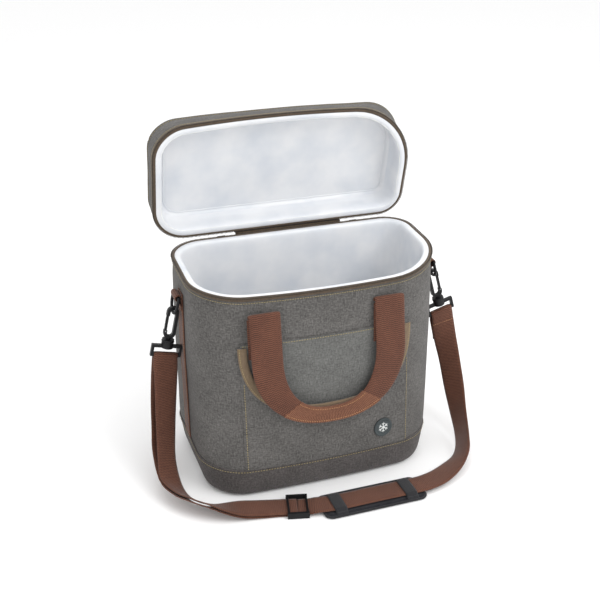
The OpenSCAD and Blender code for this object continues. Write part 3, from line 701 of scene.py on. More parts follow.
lp = [(271.5, 2.9, 0), (271.9, 4.2, 0.1), (272.0, 6.2, 0.25), (271.5, 8.6, 0.3), (270.0, 10.0, 0.35), (267, 10.6, 0.5)]
lp += [(261 - 6.4 * i, 10.4, 1.0) for i in range(37)]
lp += [(24, 10.5, 0.8), (19.5, 10.7, 0.5), (16.2, 12.0, 0.3), (14.4, 15.0, 0.1), (14.0, 22.0, 0.05)]
rings = [liner_ring(z, i, a) for z, i, a in lp]
last = section(14, 22)
for k in (0.8, 0.55, 0.3, 0.1, 0.03):
    rings.append([Vector((x * k, y * k, 13.9 + 0.5 * nz(x * k, y * k, 0, 40, 1.0))) for x, y in last])
liner = loft("liner_film", rings, cap="end")
give(liner, M_LINER)
subsurf(liner, 1)
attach(liner, "bag")
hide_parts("liner")
# the liner's welded seams, one round the floor and one up each rear corner, are not modelled
seam_v = []


def bead(name, path, r, body, mat, closed=False, ns=8):
    path = [Vector(p) for p in path]
    m = len(path)
    rings = []
    for i in range(m):
        if closed:
            d = unit(path[(i + 1) % m] - path[i - 1])
        else:
            d = unit(path[min(i + 1, m - 1)] - path[max(i - 1, 0)])
        u = unit(Vector((0, 0, 1)) - d * d.z) if abs(d.z) < 0.9 else unit(Vector((1, 0, 0)) - d * d.x)
        v = d.cross(u)
        rings.append([path[i] + u * (math.cos(2 * math.pi * k / ns) * r) + v * (math.sin(2 * math.pi * k / ns) * r) for k in range(ns)])
    o = loft(name, rings, True, closed, not closed)
    give(o, mat)
    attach(o, body)
    return o


# ------------------------------------------------------------------ front pocket
PX = 105.0
SN, SA, STOP, SDROP = 2.7, 99.0, 213.0, 89.0


def smile_z(x):
    return STOP - SDROP * max(0.0, 1 - (abs(x) / SA) ** SN) ** (1 / SN)


def bulge(x, z):
    t = min(1.1, (max(0.0, (z - BAND_H) / (124 - BAND_H))) ** 1.3)
    return 6.4 * max(0.0, 1 - (x / PX) ** 2) * t * lk([(120, 1), (205, 0.2)], z)


def on_front(x, z, off):
    y = front_y(x, z)
    s = soft(x, y, z)
    return place(x, y - s - off, z)


def grid(name, xs, zs_of, off_of, thick, mat, body="bag", sub=1):
    rows = []
    nzs = len(zs_of(xs[0]))
    for x in xs:
        rows.append([on_front(x, z, off_of(x, z)) for z in zs_of(x)])
    verts = [p for r in rows for p in r]
    faces, uvs = [], []
    zref = [zs_of(x) for x in xs]
    for i in range(len(xs) - 1):
        for k in range(nzs - 1):
            faces.append((i * nzs + k, (i + 1) * nzs + k, (i + 1) * nzs + k + 1, i * nzs + k + 1))
            uvs.append(((xs[i], zref[i][k]), (xs[i + 1], zref[i + 1][k]), (xs[i + 1], zref[i + 1][k + 1]), (xs[i], zref[i][k + 1])))
    o = new_object(name, verts, faces, uvs)
    m = o.modifiers.new("thick", "SOLIDIFY")
    m.thickness = thick * 0.001
    m.offset = -1
    give(o, mat)
    if sub:
        subsurf(o, sub)
    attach(o, body)
    return o


xs = [-PX - 1.5, -PX - 0.3] + [-PX + 1 + 208 * i / 60 for i in range(61)] + [PX + 0.3, PX + 1.5]


def edge_in(x, a=3.0):
    return min(1.0, max(0.0, (PX + 1.5 - abs(x)) / a)) ** 0.5


def p_off(x, z):
    e = edge_in(x)
    pucker = 0.35 * math.sin(z * 0.75 + 1.3 * math.sin(z * 0.21)) * math.exp(-abs(abs(x) - PX + 3) / 4.0)
    wr = 0.7 * nz(x, z, 11, 34, 12.0) + 0.3 * nz(x, z, 3, 14, 2.5)
    return (2.6 + bulge(x, z) + (wr + pucker) * min(1, max(0, (PX - abs(x)) / 18))) * e + 0.15


pocket = grid("pocket_canvas", xs, lambda x: [43.2 + (min(smile_z(max(-PX, min(PX, x))), 209) - 43.2) * k / 34 for k in range(35)], p_off, 1.0, M_CANVAS)
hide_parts("front_pocket")
xb = [-PX + 210 * i / 56 for i in range(57)]
backp = grid("pocket_back_panel", xb, lambda x: [60 + (212.6 - 60) * k / 30 for k in range(31)],
             lambda x, z: 0.75 + 0.35 * max(0, nz(x, z, 2, 30, 8.0)) * min(1, (PX - abs(x)) / 20) + (0.55 if z > 207 else 0), 0.5, M_BACKP)
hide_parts("pocket_back")

# mouth binding: a tape folded over the edge
mouth = []
NM = 90
for i in range(NM + 1):
    a = math.radians(1.0 + 178.0 * i / NM)
    cx, sx = math.cos(a), math.sin(a)
    x = -SA * math.copysign(abs(cx) ** (2 / SN), cx)
    z = STOP - SDROP * sx ** (2 / SN)
    mouth.append((x, z))
mr = []
for i, (x, z) in enumerate(mouth):
    x0, z0 = mouth[max(0, i - 1)]
    x1, z1 = mouth[min(NM, i + 1)]
    L = math.hypot(x1 - x0, z1 - z0)
    nx, nzv = (z1 - z0) / L, -(x1 - x0) / L      # away from the opening
    ring = []
    for s, o_ in ((9.4, 0.25), (9.6, 0.75), (9.1, 1.25), (6.5, 1.4), (3.5, 1.4), (0.8, 1.35), (-0.7, 0.9), (-1.2, 0.0), (-0.9, -1.1), (0.4, -1.5), (4.0, -1.45), (4.3, -1.0),
                  (0.6, -0.9), (0.2, 0.0), (3.0, 0.15)):
        xx, zz = x + nx * s, z + nzv * s
        xc = max(-PX, min(PX, xx))
        ring.append(on_front(xx, zz, 2.75 + bulge(xc, zz) * 1.0 + 0.6 * nz(xx, zz, 11, 34, 12.0) * min(1, max(0, (PX - abs(xx)) / 18)) + o_))
    mr.append(ring)
binding = loft("pocket_mouth_binding", mr, True, False, True)
lay = binding.data.uv_layers[0]
for poly in binding.data.polygons:
    for li in poly.loop_indices:
        a, b = lay.data[li].uv
        lay.data[li].uv = (a, b)
give(binding, M_TAN)
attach(binding, "bag")
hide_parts("pocket_binding")


def mouth_line(s, o_):
    out = []
    for i, (x, z) in enumerate(mouth):
        x0, z0 = mouth[max(0, i - 1)]
        x1, z1 = mouth[min(NM, i + 1)]
        L = math.hypot(x1 - x0, z1 - z0)
        nx, nzv = (z1 - z0) / L, -(x1 - x0) / L
        xx, zz = x + nx * s, z + nzv * s
        xc = max(-PX, min(PX, xx))
        out.append(on_front(xx, zz, 2.75 + bulge(xc, zz) + 0.6 * nz(xx, zz, 11, 34, 12.0) * min(1, max(0, (PX - abs(xx)) / 18)) + o_))
    return out


T_OLIVE.run(mouth_line(7.6, 1.35), (0, -1, 0), pitch=3.0, r=0.36)
# pocket seams: sides and the line above the opening
for s in (-1, 1):
    T_OLIVE.run([on_front(s * (PX - 2.2), z, p_off(s * (PX - 2.2), z) + 0.1) for z in range(45, 165, 3)], (s * 0.3, -1, 0), pitch=3.2, r=0.4)
T_OLIVE.run([on_front(x, 210.6, 1.75) for x in range(-103, 104, 4)], (0, -1, 0.1), pitch=3.2, r=0.38)
bead("pocket_seam_piping", [on_front(x, 213.0, 0.75) for x in range(-106, 107, 3)], 0.75, "bag", M_CANVAS_O)

# ------------------------------------------------------------------ badge: a plain rubber disc with a raised ring and a generic cold mark
bx, bz = 70.0, 71.5
bc = on_front(bx, bz, p_off(bx, bz) + 0.15)
bn = unit((on_front(bx + 6, bz, p_off(bx + 6, bz)) - on_front(bx - 6, bz, p_off(bx - 6, bz))).cross(on_front(bx, bz + 6, p_off(bx, bz + 6)) - on_front(bx, bz - 6, p_off(bx, bz - 6))))
if bn.y > 0:
    bn = -bn
bu = unit(Vector((1, 0, 0)) - bn * bn.x)
bv = bn.cross(bu)
if bv.z < 0:
    bv = -bv
prof = [(0.0, 1.25), (4, 1.25), (8, 1.25), (9.9, 1.25), (10.4, 1.55), (11.0, 1.85), (11.8, 1.8), (12.3, 1.4), (12.5, 0.8), (12.5, 0.0), (11.6, -0.2)]
rings = [[bc + bu * (math.cos(2 * math.pi * k / 56) * max(r, 0.05)) + bv * (math.sin(2 * math.pi * k / 56) * max(r, 0.05)) + bn * h for k in range(56)] for r, h in prof]
badge = loft("badge_disc", rings, True, False, "start")
give(badge, M_BADGE)
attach(badge, "bag")
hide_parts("badge")
v, f = [], []
for k in range(3):
    th = math.pi * k / 3 + math.pi / 6
    d = bu * math.cos(th) + bv * math.sin(th)
    capsule(v, f, bc - d * 7.6 + bn * 1.3, bc + d * 7.6 + bn * 1.3, 0.62, bn, flat=0.8)
    for s in (-1, 1):
        for tw in (-0.9, 0.9):
            e = bu * math.cos(th + tw) + bv * math.sin(th + tw)
            capsule(v, f, bc + d * s * 4.0 + bn * 1.3, bc + d * s * 4.0 + e * s * 2.9 + bn * 1.3, 0.5, bn, flat=0.8)
mark = new_object("badge_mark", v, f)
give(mark, M_BADGE2)
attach(mark, "bag")

# ------------------------------------------------------------------ carry handles
LEGX, HW, DROP, GRIP_H, FOLD_Z, FOLD_R = 77.0, 38.0, 141.0, 19.0, 240.0, 3.6
IN_H, OUT_H = LEGX - HW / 2, LEGX + HW / 2


def se(a, b, n, z0, t):
    return (a * max(0.0, math.cos(t)) ** (2 / n), z0 - b * max(0.0, math.sin(t)) ** (2 / n))


def handle_frame(side):
    if side == "front":
        return Matrix.Translation((0, -93.4, FOLD_Z)) @ Matrix.Rotation(math.radians(-9), 4, "X")
    return Matrix.Translation((0, 90.4, FOLD_Z)) @ Matrix.Rotation(math.radians(4), 4, "X") @ Matrix.Diagonal((1, -1, 1, 1))


def make_handle(side):
    body = side + "_carry_handle"
    M = handle_frame(side)
    path = []          # (outer point, inner point) in the handle's own plane
    for i in range(14):
        z = -50.0 * i / 14
        path.append(((OUT_H, z), (IN_H, z)))
    NQ = 40
    for i in range(NQ + 1):
        t = math.pi / 2 * i / NQ
        path.append((se(OUT_H, DROP - 50, 2.3, -50, t), se(IN_H, DROP - GRIP_H - 50, 2.5, -50, t)))
    full = path + [((-a[0], a[1]), (-b[0], b[1])) for a, b in reversed(path[:-1])]
    rings, wv = [], []
    n = len(full)
    NWD = 13
    for i, (o_, p_) in enumerate(full):
        wide = math.hypot(o_[0] - p_[0], o_[1] - p_[1])
        g = min(1.0, max(0.0, (HW + 1 - wide) / 13.0))
        t2 = 1.2
        cx, cz = (o_[0] + p_[0]) / 2, (o_[1] + p_[1]) / 2
        wave = 0.5 * nz(cx, cz, 5, 40, 3.0) + 0.35 * math.sin(cz * 0.09 + cx * 0.05) * min(1, -cz / 40)
        ring_o, ring_i = [], []
        for k in range(NWD):
            s = k / (NWD - 1)
            x, z = o_[0] + (p_[0] - o_[0]) * s, o_[1] + (p_[1] - o_[1]) * s
            cup = 0.35 * (1 - (2 * s - 1) ** 2)
            e = max(0.35, (1 - abs(2 * s - 1) ** 14) ** 0.5)
            ring_o.append(M @ Vector((x, -2.4 - t2 * e - cup + wave, z)))
            ring_i.append(M @ Vector((x, -2.4 + t2 * e - cup + wave, z)))
        rings.append(ring_o + ring_i[::-1])
    # the top end rolls over the fold
    start = []
    for q in range(9, 0, -1):
        a = math.radians(30 * q)          # wraps from the leg over the fold line
        row_o, row_i = [], []
        for k in range(NWD):
            s = k / (NWD - 1)
            x = OUT_H + (IN_H - OUT_H) * s
            e = max(0.35, (1 - abs(2 * s - 1) ** 14) ** 0.5)
            ro, ri = 2.4 + 1.2 * e, 2.4 - 1.2 * e
            row_o.append(M @ Vector((x, -math.cos(a) * ro, math.sin(a) * ro)))
            row_i.append(M @ Vector((x, -math.cos(a) * ri, math.sin(a) * ri)))
        start.append(row_o + row_i[::-1])
    mir = []
    for r in reversed(start):
        mir.append([M @ Vector((-(M.inverted() @ p).x, (M.inverted() @ p).y, (M.inverted() @ p).z)) for p in r])
    o = loft(side + "_handle_webbing", start + rings + mir, True, False, True)
    allr = start + rings + mir
    vs = [0.0]
    for i in range(1, len(allr)):
        a, b = allr[i][NWD // 2], allr[i - 1][NWD // 2]
        vs.append(vs[-1] + (a - b).length)
    lay = o.data.uv_layers[0]
    nn = 2 * NWD
    for poly in o.data.polygons:
        for li in poly.loop_indices:
            vi = o.data.loops[li].vertex_index
            i, j = vi // nn, vi % nn
            k = j if j < NWD else 2 * NWD - 1 - j
            lay.data[li].uv = ((k / (NWD - 1) - 0.5) * HW * 0.001, vs[i] * 0.001)
    give(o, M_WEB2)
    subsurf(o, 1)
    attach(o, body)
    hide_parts(side + "_handle")
    # grip: the webbing folded round itself and sewn along both edges
    gr, GN = [], 44
    for i in range(GN + 1):
        f = -1 + 2 * i / GN
        # walk the curve through the middle
        t = math.pi / 2 - (math.pi / 2 - math.radians(52)) * abs(f)
        oo, ii = se(OUT_H, DROP - 50, 2.3, -50, t), se(IN_H, DROP - GRIP_H - 50, 2.5, -50, t)
        sg = 1 if f > 0 else -1
        oo, ii = (sg * oo[0], oo[1]), (sg * ii[0], ii[1])
        pts = []
        hw = math.hypot(oo[0] - ii[0], oo[1] - ii[1]) / 2 + 0.35
        cx, cz = (oo[0] + ii[0]) / 2, (oo[1] + ii[1]) / 2
        ux, uz = (oo[0] - ii[0]) / (2 * hw - 0.7), (oo[1] - ii[1]) / (2 * hw - 0.7)
        endr = 0.75 if i in (0, GN) else 1.0
        for k in range(24):
            a = 2 * math.pi * k / 24
            ca, sa = math.cos(a), math.sin(a)
            px = math.copysign(abs(ca) ** 0.22, ca) * hw
            py = math.copysign(abs(sa) ** 0.55, sa) * (2.65 if abs(ca) > 0.2 else 2.55) * endr
            groove = 0.35 * math.exp(-((abs(px) - hw + 3.2) / 1.0) ** 2)
            py = math.copysign(abs(py) - groove, py) if abs(py) > 0.6 else py
            pts.append(M @ Vector((cx + ux * px, -2.55 + py + 0.35 * nz(cx, cz, 5, 40, 3.0), cz + uz * px)))
        gr.append(pts)
    g = loft(side + "_grip_sleeve", gr, True, False, True)
    # the uvs are written back as lofted: u round the sleeve, v along the bend
    lay = g.data.uv_layers[0]
    for poly in g.data.polygons:
        for li in poly.loop_indices:
            a, b = lay.data[li].uv
            lay.data[li].uv = (a, b)
    give(g, M_GRIP)
    subsurf(g, 1)
    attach(g, body)
    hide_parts(side + "_grip")
    th = Threads("stitch_" + side + "_handle", body, M_THREAD_B)
    outw = M.to_3x3() @ Vector((0, -1, 0))
    for edge in (0.13, 0.87):
        line = []
        for i in range(GN + 1):
            f = -0.97 + 1.94 * i / GN
            t = math.pi / 2 - (math.pi / 2 - math.radians(52)) * abs(f)
            oo, ii = se(OUT_H, DROP - 50, 2.3, -50, t), se(IN_H, DROP - GRIP_H - 50, 2.5, -50, t)
            sg = 1 if f > 0 else -1
            x, z = sg * (ii[0] + (oo[0] - ii[0]) * edge), ii[1] + (oo[1] - ii[1]) * edge
            line.append(M @ Vector((x, -5.05 + 0.35 * nz(x, z, 5, 40, 3.0), z)))
        th.run(line, outw, pitch=3.0, r=0.4, lift=0.0)
    th.done()


make_handle("front")
make_handle("rear")

# sewn patches under the folds: webbing tails with a box-and-cross stitch
for s in (-1, 1):
    x0 = s * LEGX
    route = [on_front(x0, z, 2.3 + (0.5 if z > 236 else 0)) for z in (193, 195, 200, 210, 220, 230, 238, 242, 245)]
    o = strip("front_patch_" + ("left" if s < 0 else "right"), route, [(1, -0.02, 0)] * len(route), HW, 1.5, nw=13)
    # lay each point of the patch on the bowed wall
    give(o, M_WEB2)
    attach(o, "bag")
    for vtx in o.data.vertices:
        x, y, z = (c * 1000 for c in vtx.co)
        zz = z + (HY - y) * math.tan(math.radians(TILT)) * (z / BODY_H) ** 2 * 1.05
        yw = front_y(x, zz) - soft(x, front_y(x, zz), zz)
        yc = front_y(x0, zz) - soft(x0, front_y(x0, zz), zz)
        vtx.co.y += (yw - yc) * 0.001
    if s < 0:
        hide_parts("front_handle_patches")
    b = []
    for (ax, az), (cx, cz) in (((-15, 200), (15, 200)), ((15, 200), (15, 229)), ((15, 229), (-15, 229)), ((-15, 229), (-15, 200)), ((-15, 200), (15, 229)), ((15, 200), (-15, 229))):
        T_OLIVE.run([on_front(x0 + ax + (cx - ax) * k / 6, az + (cz - az) * k / 6, 3.15) for k in range(7)], (0, -1, 0.05), pitch=2.8, r=0.4)


def rear_y(z):
    return lk(YB_T, z)


for s in (-1, 1):
    x0 = s * LEGX
    route = [Vector((x0, rear_y(z) + soft(x0, rear_y(z), z) + 1.35, z)) for z in (190, 193, 200, 210, 220, 230, 236)]
    o = strip("rear_patch_" + ("left" if s < 0 else "right"), route, [(1, 0, 0)] * len(route), HW, 1.5, nw=13)
    give(o, M_WEB2)
    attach(o, "bag")
    if s < 0:
        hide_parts("rear_handle_patches")
    for (ax, az), (cx, cz) in (((-15, 197), (15, 197)), ((15, 197), (15, 226)), ((15, 226), (-15, 226)), ((-15, 226), (-15, 197)), ((-15, 197), (15, 226)), ((15, 197), (-15, 226))):
        T_OLIVE.run([Vector((x0 + ax + (cx - ax) * k / 6, rear_y(az + (cz - az) * k / 6) + soft(x0, rear_y(az), az + (cz - az) * k / 6) + 2.2, az + (cz - az) * k / 6)) for k in range(7)], (0, 1, 0.05), pitch=2.8, r=0.4)

# ------------------------------------------------------------------ side straps and tabs
TAB_Z = 238.0
TAB_X = lk(W_T, TAB_Z) / 2 + 6.95
TAB_S = shift_at(TAB_Z)
LEAN = {-1: math.radians(12.8), 1: math.radians(16)}


def side_x(s, z, off=0.0):
    """x of the wall on side s at y = 0, off mm outside it."""
    return s * (lk(W_T, z) / 2 + off) + shift_at(z)


for s, nm in ((-1, "left"), (1, "right")):
    zs = [BAND_H + 1.5, BAND_H + 4] + [50 + 9.3 * i for i in range(20)] + [TAB_Z, TAB_Z + 3, TAB_Z + 4.5]
    route = [Vector((side_x(s, z + 5 * (z / BODY_H) ** 2, soft(side_x(s, z), 0, z) + 0.75), 0, z)) for z in zs]
    o = strip("side_webbing_" + nm, route, [(0, 1, 0)] * len(route), 25.0, 1.3, nw=11)
    give(o, M_WEB)
    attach(o, "bag")
    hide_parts("side_strap_" + nm)
    for yy in (-10.3, 10.3):
        T_BROWN.run([Vector((p.x + s * 0.72, yy, p.z)) for p in route[1:-1]], (s, 0, 0), pitch=3.2, r=0.36)
    for zz in (BAND_H + 6, TAB_Z - 18):
        x = side_x(s, zz + 5 * (zz / BODY_H) ** 2, soft(side_x(s, zz), 0, zz) + 1.5)
        T_BROWN.run([Vector((x, yy, zz)) for yy in (-10.5, 10.5)], (s, 0, 0), pitch=2.6, length=2.0, r=0.38)
    # tab: webbing folded round the ring's bar and sewn flat below it
    R1 = 3.65
    rt = [Vector((s * (TAB_X - 5.0) + TAB_S, 0, TAB_Z - 15)), Vector((s * (TAB_X - 4.6) + TAB_S, 0, TAB_Z - 11)), Vector((s * (TAB_X - 4.0) + TAB_S, 0, TAB_Z - 6)), Vector((s * (TAB_X - 3.75) + TAB_S, 0, TAB_Z - 2))]
    for q in range(0, 13):
        a = math.radians(180 - 20 * q)
        rt.append(Vector((s * (TAB_X + math.cos(a) * R1) + TAB_S, 0, TAB_Z + math.sin(a) * R1)))
    rt += [Vector((s * (TAB_X - 1.0) + TAB_S, 0, TAB_Z - 5.2)), Vector((s * (TAB_X - 2.6) + TAB_S, 0, TAB_Z - 8)), Vector((s * (TAB_X - 3.3) + TAB_S, 0, TAB_Z - 12)), Vector((s * (TAB_X - 3.7) + TAB_S, 0, TAB_Z - 15))]
    o = strip("tab_webbing_" + nm, rt, [(0, 1, 0)] * len(rt), 23.0, 1.35, nw=11)
    give(o, M_WEB)
    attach(o, "bag")
    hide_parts("tab_" + nm)
    T_BROWN.run([Vector((s * (TAB_X - 2.15) + TAB_S, yy, TAB_Z - 10.5)) for yy in (-9.5, 9.5)], (s, 0, 0.4), pitch=2.4, length=1.9, r=0.36)

# ------------------------------------------------------------------ moulded clips: CAD pieces, softened edges
for nm in ("left", "right"):
    for part, w_ in (("d_ring_", 0.0003), ("hook_", 0.0008), ("gate_", 0.0005), ("swivel_", 0.0007)):
        o = NODES[part + nm]
        give(o, M_BLACK)
        bevel(o, w_, 3, 40)
    give(NODES["gate_pin_" + nm], M_STEEL)
    bevel(NODES["gate_pin_" + nm], 0.0002, 2, 40)
    # thumb ribs on the gate and a moulded collar ring on the swivel
    s = -1 if nm == "left" else 1

    def clip(x, y, z):
        return Vector((s * (TAB_X + x * math.cos(LEAN[s]) - z * math.sin(LEAN[s])) + TAB_S, y, TAB_Z + x * math.sin(LEAN[s]) + z * math.cos(LEAN[s])))
    v, f = [], []
    outd = unit(clip(1, 0, 0) - clip(0, 0, 0))
    for k in range(6):
        z = -29.5 - 1.9 * k
        capsule(v, f, clip(7.05, -1.35, z), clip(7.05, 1.35, z), 0.42, outd, flat=1.0)
    o = new_object("gate_ribs_" + nm, v, f)
    give(o, M_BLACK)
    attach(o, "thumb_gate_" + nm)
    rings = []
    for k in range(40):
        a = 2 * math.pi * k / 40
        cx, cy = math.cos(a), math.sin(a)
        rings.append([clip(cx * (7.35 + 0.55 * math.cos(b)), cy * (7.35 + 0.55 * math.cos(b)), -60.0 + 0.8 * math.sin(b)) for b in (math.radians(45 * q) for q in range(8))])
    o = loft("swivel_ring_" + nm, rings, True, True)
    give(o, M_BLACK)
    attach(o, "strap_loop_" + nm)

# ------------------------------------------------------------------ shoulder strap
STRAP_W, STRAP_T = 30.0, 1.7
LEFT = [(-174.5, -4, 153), (-177, -7, 130), (-180, -12, 100), (-184, -22, 66), (-188, -38, 38), (-189, -60, 22), (-182, -83, 16),
        (-170, -101, 15.5), (-155, -113, 14), (-138, -121, 11.5), (-118, -126, 8.2), (-98, -129, 5.6), (-76, -133, 4.4), (-55, -138.5, 3.9)]
LEFT_W = [(0.98, 0, -0.2), (0.97, 0.2, -0.1), (0.93, 0.35, -0.12), (0.87, 0.46, -0.2), (0.8, 0.45, -0.38), (0.84, 0.25, -0.46), (0.62, 0.5, -0.6),
        (0.42, 0.6, -0.66), (0.35, 0.7, -0.6), (0.25, 0.9, -0.3), (0.15, 1, 0), (0.1, 1, 0.03), (0.22, 1, 0), (0.24, 1, 0)]
BACK = [(-174.5, 5, 153), (-177.5, 11, 126), (-180.5, 12, 94), (-184.5, 3, 61), (-189.5, -17, 37)]
BACK_W = [(0.98, 0, -0.2), (0.98, 0.1, -0.1), (0.96, 0.25, -0.05), (0.9, 0.38, -0.15), (0.84, 0.42, -0.32)]
RIGHT = [(198, -3, 154), (202, -7, 128), (207.5, -14, 96), (210, -27, 62), (207.5, -46, 38), (201, -71, 22), (191, -94, 15.5), (177, -115, 12),
        (157, -131, 8.6), (134, -143, 6.7), (112, -149, 6.5), (90, -150, 6.5), (40, -150, 6.5), (-8, -150, 6.5), (-30, -147, 6.2), (-39, -143.4, 4), (-52, -139.4, 3.2)]
RIGHT_W = [(0.96, 0, 0.27), (0.9, -0.38, 0.18), (0.7, -0.68, 0.22), (0.62, -0.69, 0.37), (0.42, -0.67, 0.61), (0.31, -0.54, 0.79), (0.4, -0.4, 0.82), (0.53, -0.56, 0.6),
        (0.45, -0.85, 0.25), (0.28, -1, 0.05), (0.05, -1, 0), (0, -1, 0), (0, -1, 0), (0, -1, 0), (-0.12, -1, 0), (-0.22, -1, 0), (-0.24, -1, 0)]


def tangent(p, i):
    return unit(Vector(p[min(i + 1, len(p) - 1)]) - Vector(p[max(i - 1, 0)]))


under = []
for i in range(5, 13):
    t = tangent(LEFT, i)
    a = Vector(LEFT_W[i])
    a = unit(a - t * a.dot(t))
    q = Vector(LEFT[i]) - t.cross(a) * 3.3
    under.append((q.x, q.y, max(q.z, 1.45)))
RETURN = BACK + under
RETURN_W = BACK_W + LEFT_W[5:13]


def clip_pt(s, x, y, z):
    return (s * (TAB_X + x * math.cos(LEAN[s]) - z * math.sin(LEAN[s])) + TAB_S, y, TAB_Z + x * math.sin(LEAN[s]) + z * math.cos(LEAN[s]))


LOOP_BAR = -80.4 + 1.8          # centre of the loop's lower bar, along the clip
BT = 1.8 + STRAP_T / 2 + 0.15   # how far the webbing's middle stands off the bar's centre, up and down
BY = 2.3 + STRAP_T / 2 + 0.15   # and front to back


def wrap(s, side, a0=90, a1=0, n=5):
    """Points over the loop's lower bar from its top (90) to its front or back (0)."""
    out = []
    for i in range(n + 1):
        a = math.radians(a0 + (a1 - a0) * i / n)
        out.append(Vector(clip_pt(s, 0, side * math.cos(a) * BY, LOOP_BAR + math.sin(a) * BT)))
    return out


barx = {s: tuple(unit(Vector(clip_pt(s, 1, 0, 0)) - Vector(clip_pt(s, 0, 0, 0))) * s) for s in (-1, 1)}


def hang(pts, wides, n=4):
    r = catmull(pts, n)
    w = catmull(wides, n)
    return r, [tuple(q) for q in w]


def cord_piece(name, head, head_w, pts, wides, nodes, body_snap, far="object"):
    r, w = hang(pts, wides, 4)
    route = head + r
    wide = head_w + w
    o = strip(name, route, wide, STRAP_W, STRAP_T, nw=11)
    give(o, M_WEB)
    L = sum((b - a).length for a, b in zip(route, route[1:]))
    return o, route, L


# left front ply, over the bar from its top
hd = wrap(-1, -1)
lo_ = Vector(clip_pt(-1, 0, -BY, LOOP_BAR - 4))
head = hd + [lo_]
p_left = [tuple(head[-1].lerp(Vector(LEFT[1]), 0.2))] + LEFT[1:-1] + [(-53.2, -138.9, 3.9)]
w_left = [barx[-1]] + LEFT_W[1:]
o, route, L = cord_piece("strap_front_ply", head, [barx[-1]] * len(head), p_left, w_left, None, None)
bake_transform(o)
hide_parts("strap_left")
L_FRONT = L

hd = wrap(-1, 1)
head = hd + [Vector(clip_pt(-1, 0, BY, LOOP_BAR - 4))]
p_ret = [tuple(head[-1].lerp(Vector(RETURN[1]), 0.2))] + RETURN[1:] + [(-60, -137.2, 1.6)]
w_ret = [barx[-1]] + RETURN_W[1:] + [LEFT_W[-1]]
o, route, L = cord_piece("strap_back_ply", head, [barx[-1]] * len(head), p_ret, w_ret, None, None)
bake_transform(o)
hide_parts("strap_return")
L_BACK = L

# right run: sewn back on itself under the loop
tail = [Vector((202.9, -4.6, 122)), Vector((202.0, -4.2, 130)), Vector((200.2, -2.0, 140)), Vector((198.6, 1.2, 150)), Vector(clip_pt(1, 0, BY + 0.4, LOOP_BAR - 5))]
tail_w = [(0.9, -0.42, 0.17), (0.9, -0.36, 0.18), (0.93, -0.2, 0.22), (0.96, -0.06, 0.26), barx[1]]
hd = wrap(1, 1, 0, 90) + wrap(1, -1, 90, 0)[1:]
head = tail + hd + [Vector(clip_pt(1, 0, -BY, LOOP_BAR - 4))]
head_w = tail_w + [barx[1]] * (len(head) - len(tail))
p_right = [tuple(head[-1].lerp(Vector(RIGHT[1]), 0.2))] + RIGHT[1:-1] + [(-52.8, -139.0, 3.2)]
w_right = [barx[1]] + RIGHT_W[1:]
route_r = None
o, route, L = cord_piece("strap_right_run", head, head_w, p_right, w_right, None, None)
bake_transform(o)
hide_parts("strap_right")
L_RIGHT = L

v, f = [], []
for k in range(11):
    q = Vector((198.9, -5.2, 147)) + Vector((0.955, -0.11, 0.26)) * (-14 + 2.6 * k)
    capsule(v, f, q, q + Vector((0.955, -0.11, 0.26)) * 2.0, 0.45, (0, -1, 0))
o = new_object("stitch_strap_right", v, f)
give(o, M_THREAD_B)
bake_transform(o)
give(NODES["triglide"], M_BLACK)
bevel(NODES["triglide"], 0.0006, 3, 40)

# ------------------------------------------------------------------ shoulder pad: crowned foam in a knitted cover, bound edge
PCX, PCY, PL, PW = 39.0, -150.0, 130.0, 43.0


def pad_outline(l, w, r, n=10, side=16):
    pts = []
    for cx, cy, a0 in ((l / 2 - r, w / 2 - r, 0), (-l / 2 + r, w / 2 - r, 90), (-l / 2 + r, -w / 2 + r, 180), (l / 2 - r, -w / 2 + r, 270)):
        for i in range(n + 1):
            a = math.radians(a0 + 90 * i / n)
            pts.append((cx + r * math.cos(a), cy + r * math.sin(a)))
        nx_ = {0: (-l / 2 + r, w / 2), 90: (-l / 2, -w / 2 + r), 180: (l / 2 - r, -w / 2), 270: (l / 2, w / 2 - r)}[a0]
        p = pts[-1]
        for i in range(1, side):
            pts.append((p[0] + (nx_[0] - p[0]) * i / side, p[1] + (nx_[1] - p[1]) * i / side))
    return pts


prof = [(0.10, 0.5), (0.55, 0.5), (0.9, 0.45), (0.985, 0.6), (1.0, 1.5), (1.0, 2.9), (0.985, 3.7), (0.94, 4.1), (0.86, 4.3), (0.7, 4.6), (0.45, 4.9), (0.2, 5.05), (0.05, 5.1)]
base = pad_outline(PL, PW, 9)
rings = []
for k, h in prof:
    ring = []
    for x, y in base:
        kx = 1 - (1 - k) * PW / PL * 1.0 if k > 0.5 else k
        rx, ry = (x * (1 - (1 - k) * 0.55) if k > 0.5 else x * (k * 1.45)), y * k
        waist = 1 - 0.035 * math.cos(rx / PL * math.pi) if abs(y) > PW / 2 - 0.5 else 1
        z = h + (0.25 * nz(rx, ry, 3, 18, 6.0) if h > 3 else 0)
        ring.append(Vector((PCX + rx, PCY + ry * waist, z)))
    rings.append(ring)
pad = loft("pad_cushion", rings, True, False, True)
give(pad, M_PADF)
subsurf(pad, 1)
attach(pad, "pad")
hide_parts("shoulder_pad")
bead("pad_edge_binding", [(PCX + x * 1.004, PCY + y * 1.008, 2.2) for x, y in base], 1.5, "pad", M_PADB, True, ns=10)
T_PAD = Threads("stitch_pad", "pad", M_THREAD_K)
inner = pad_outline(PL - 9, PW - 9, 6)
T_PAD.run([(PCX + x, PCY + y, 4.25) for x, y in inner], (0, 0, 1), closed=True, pitch=3.0, r=0.34, lift=0.0)
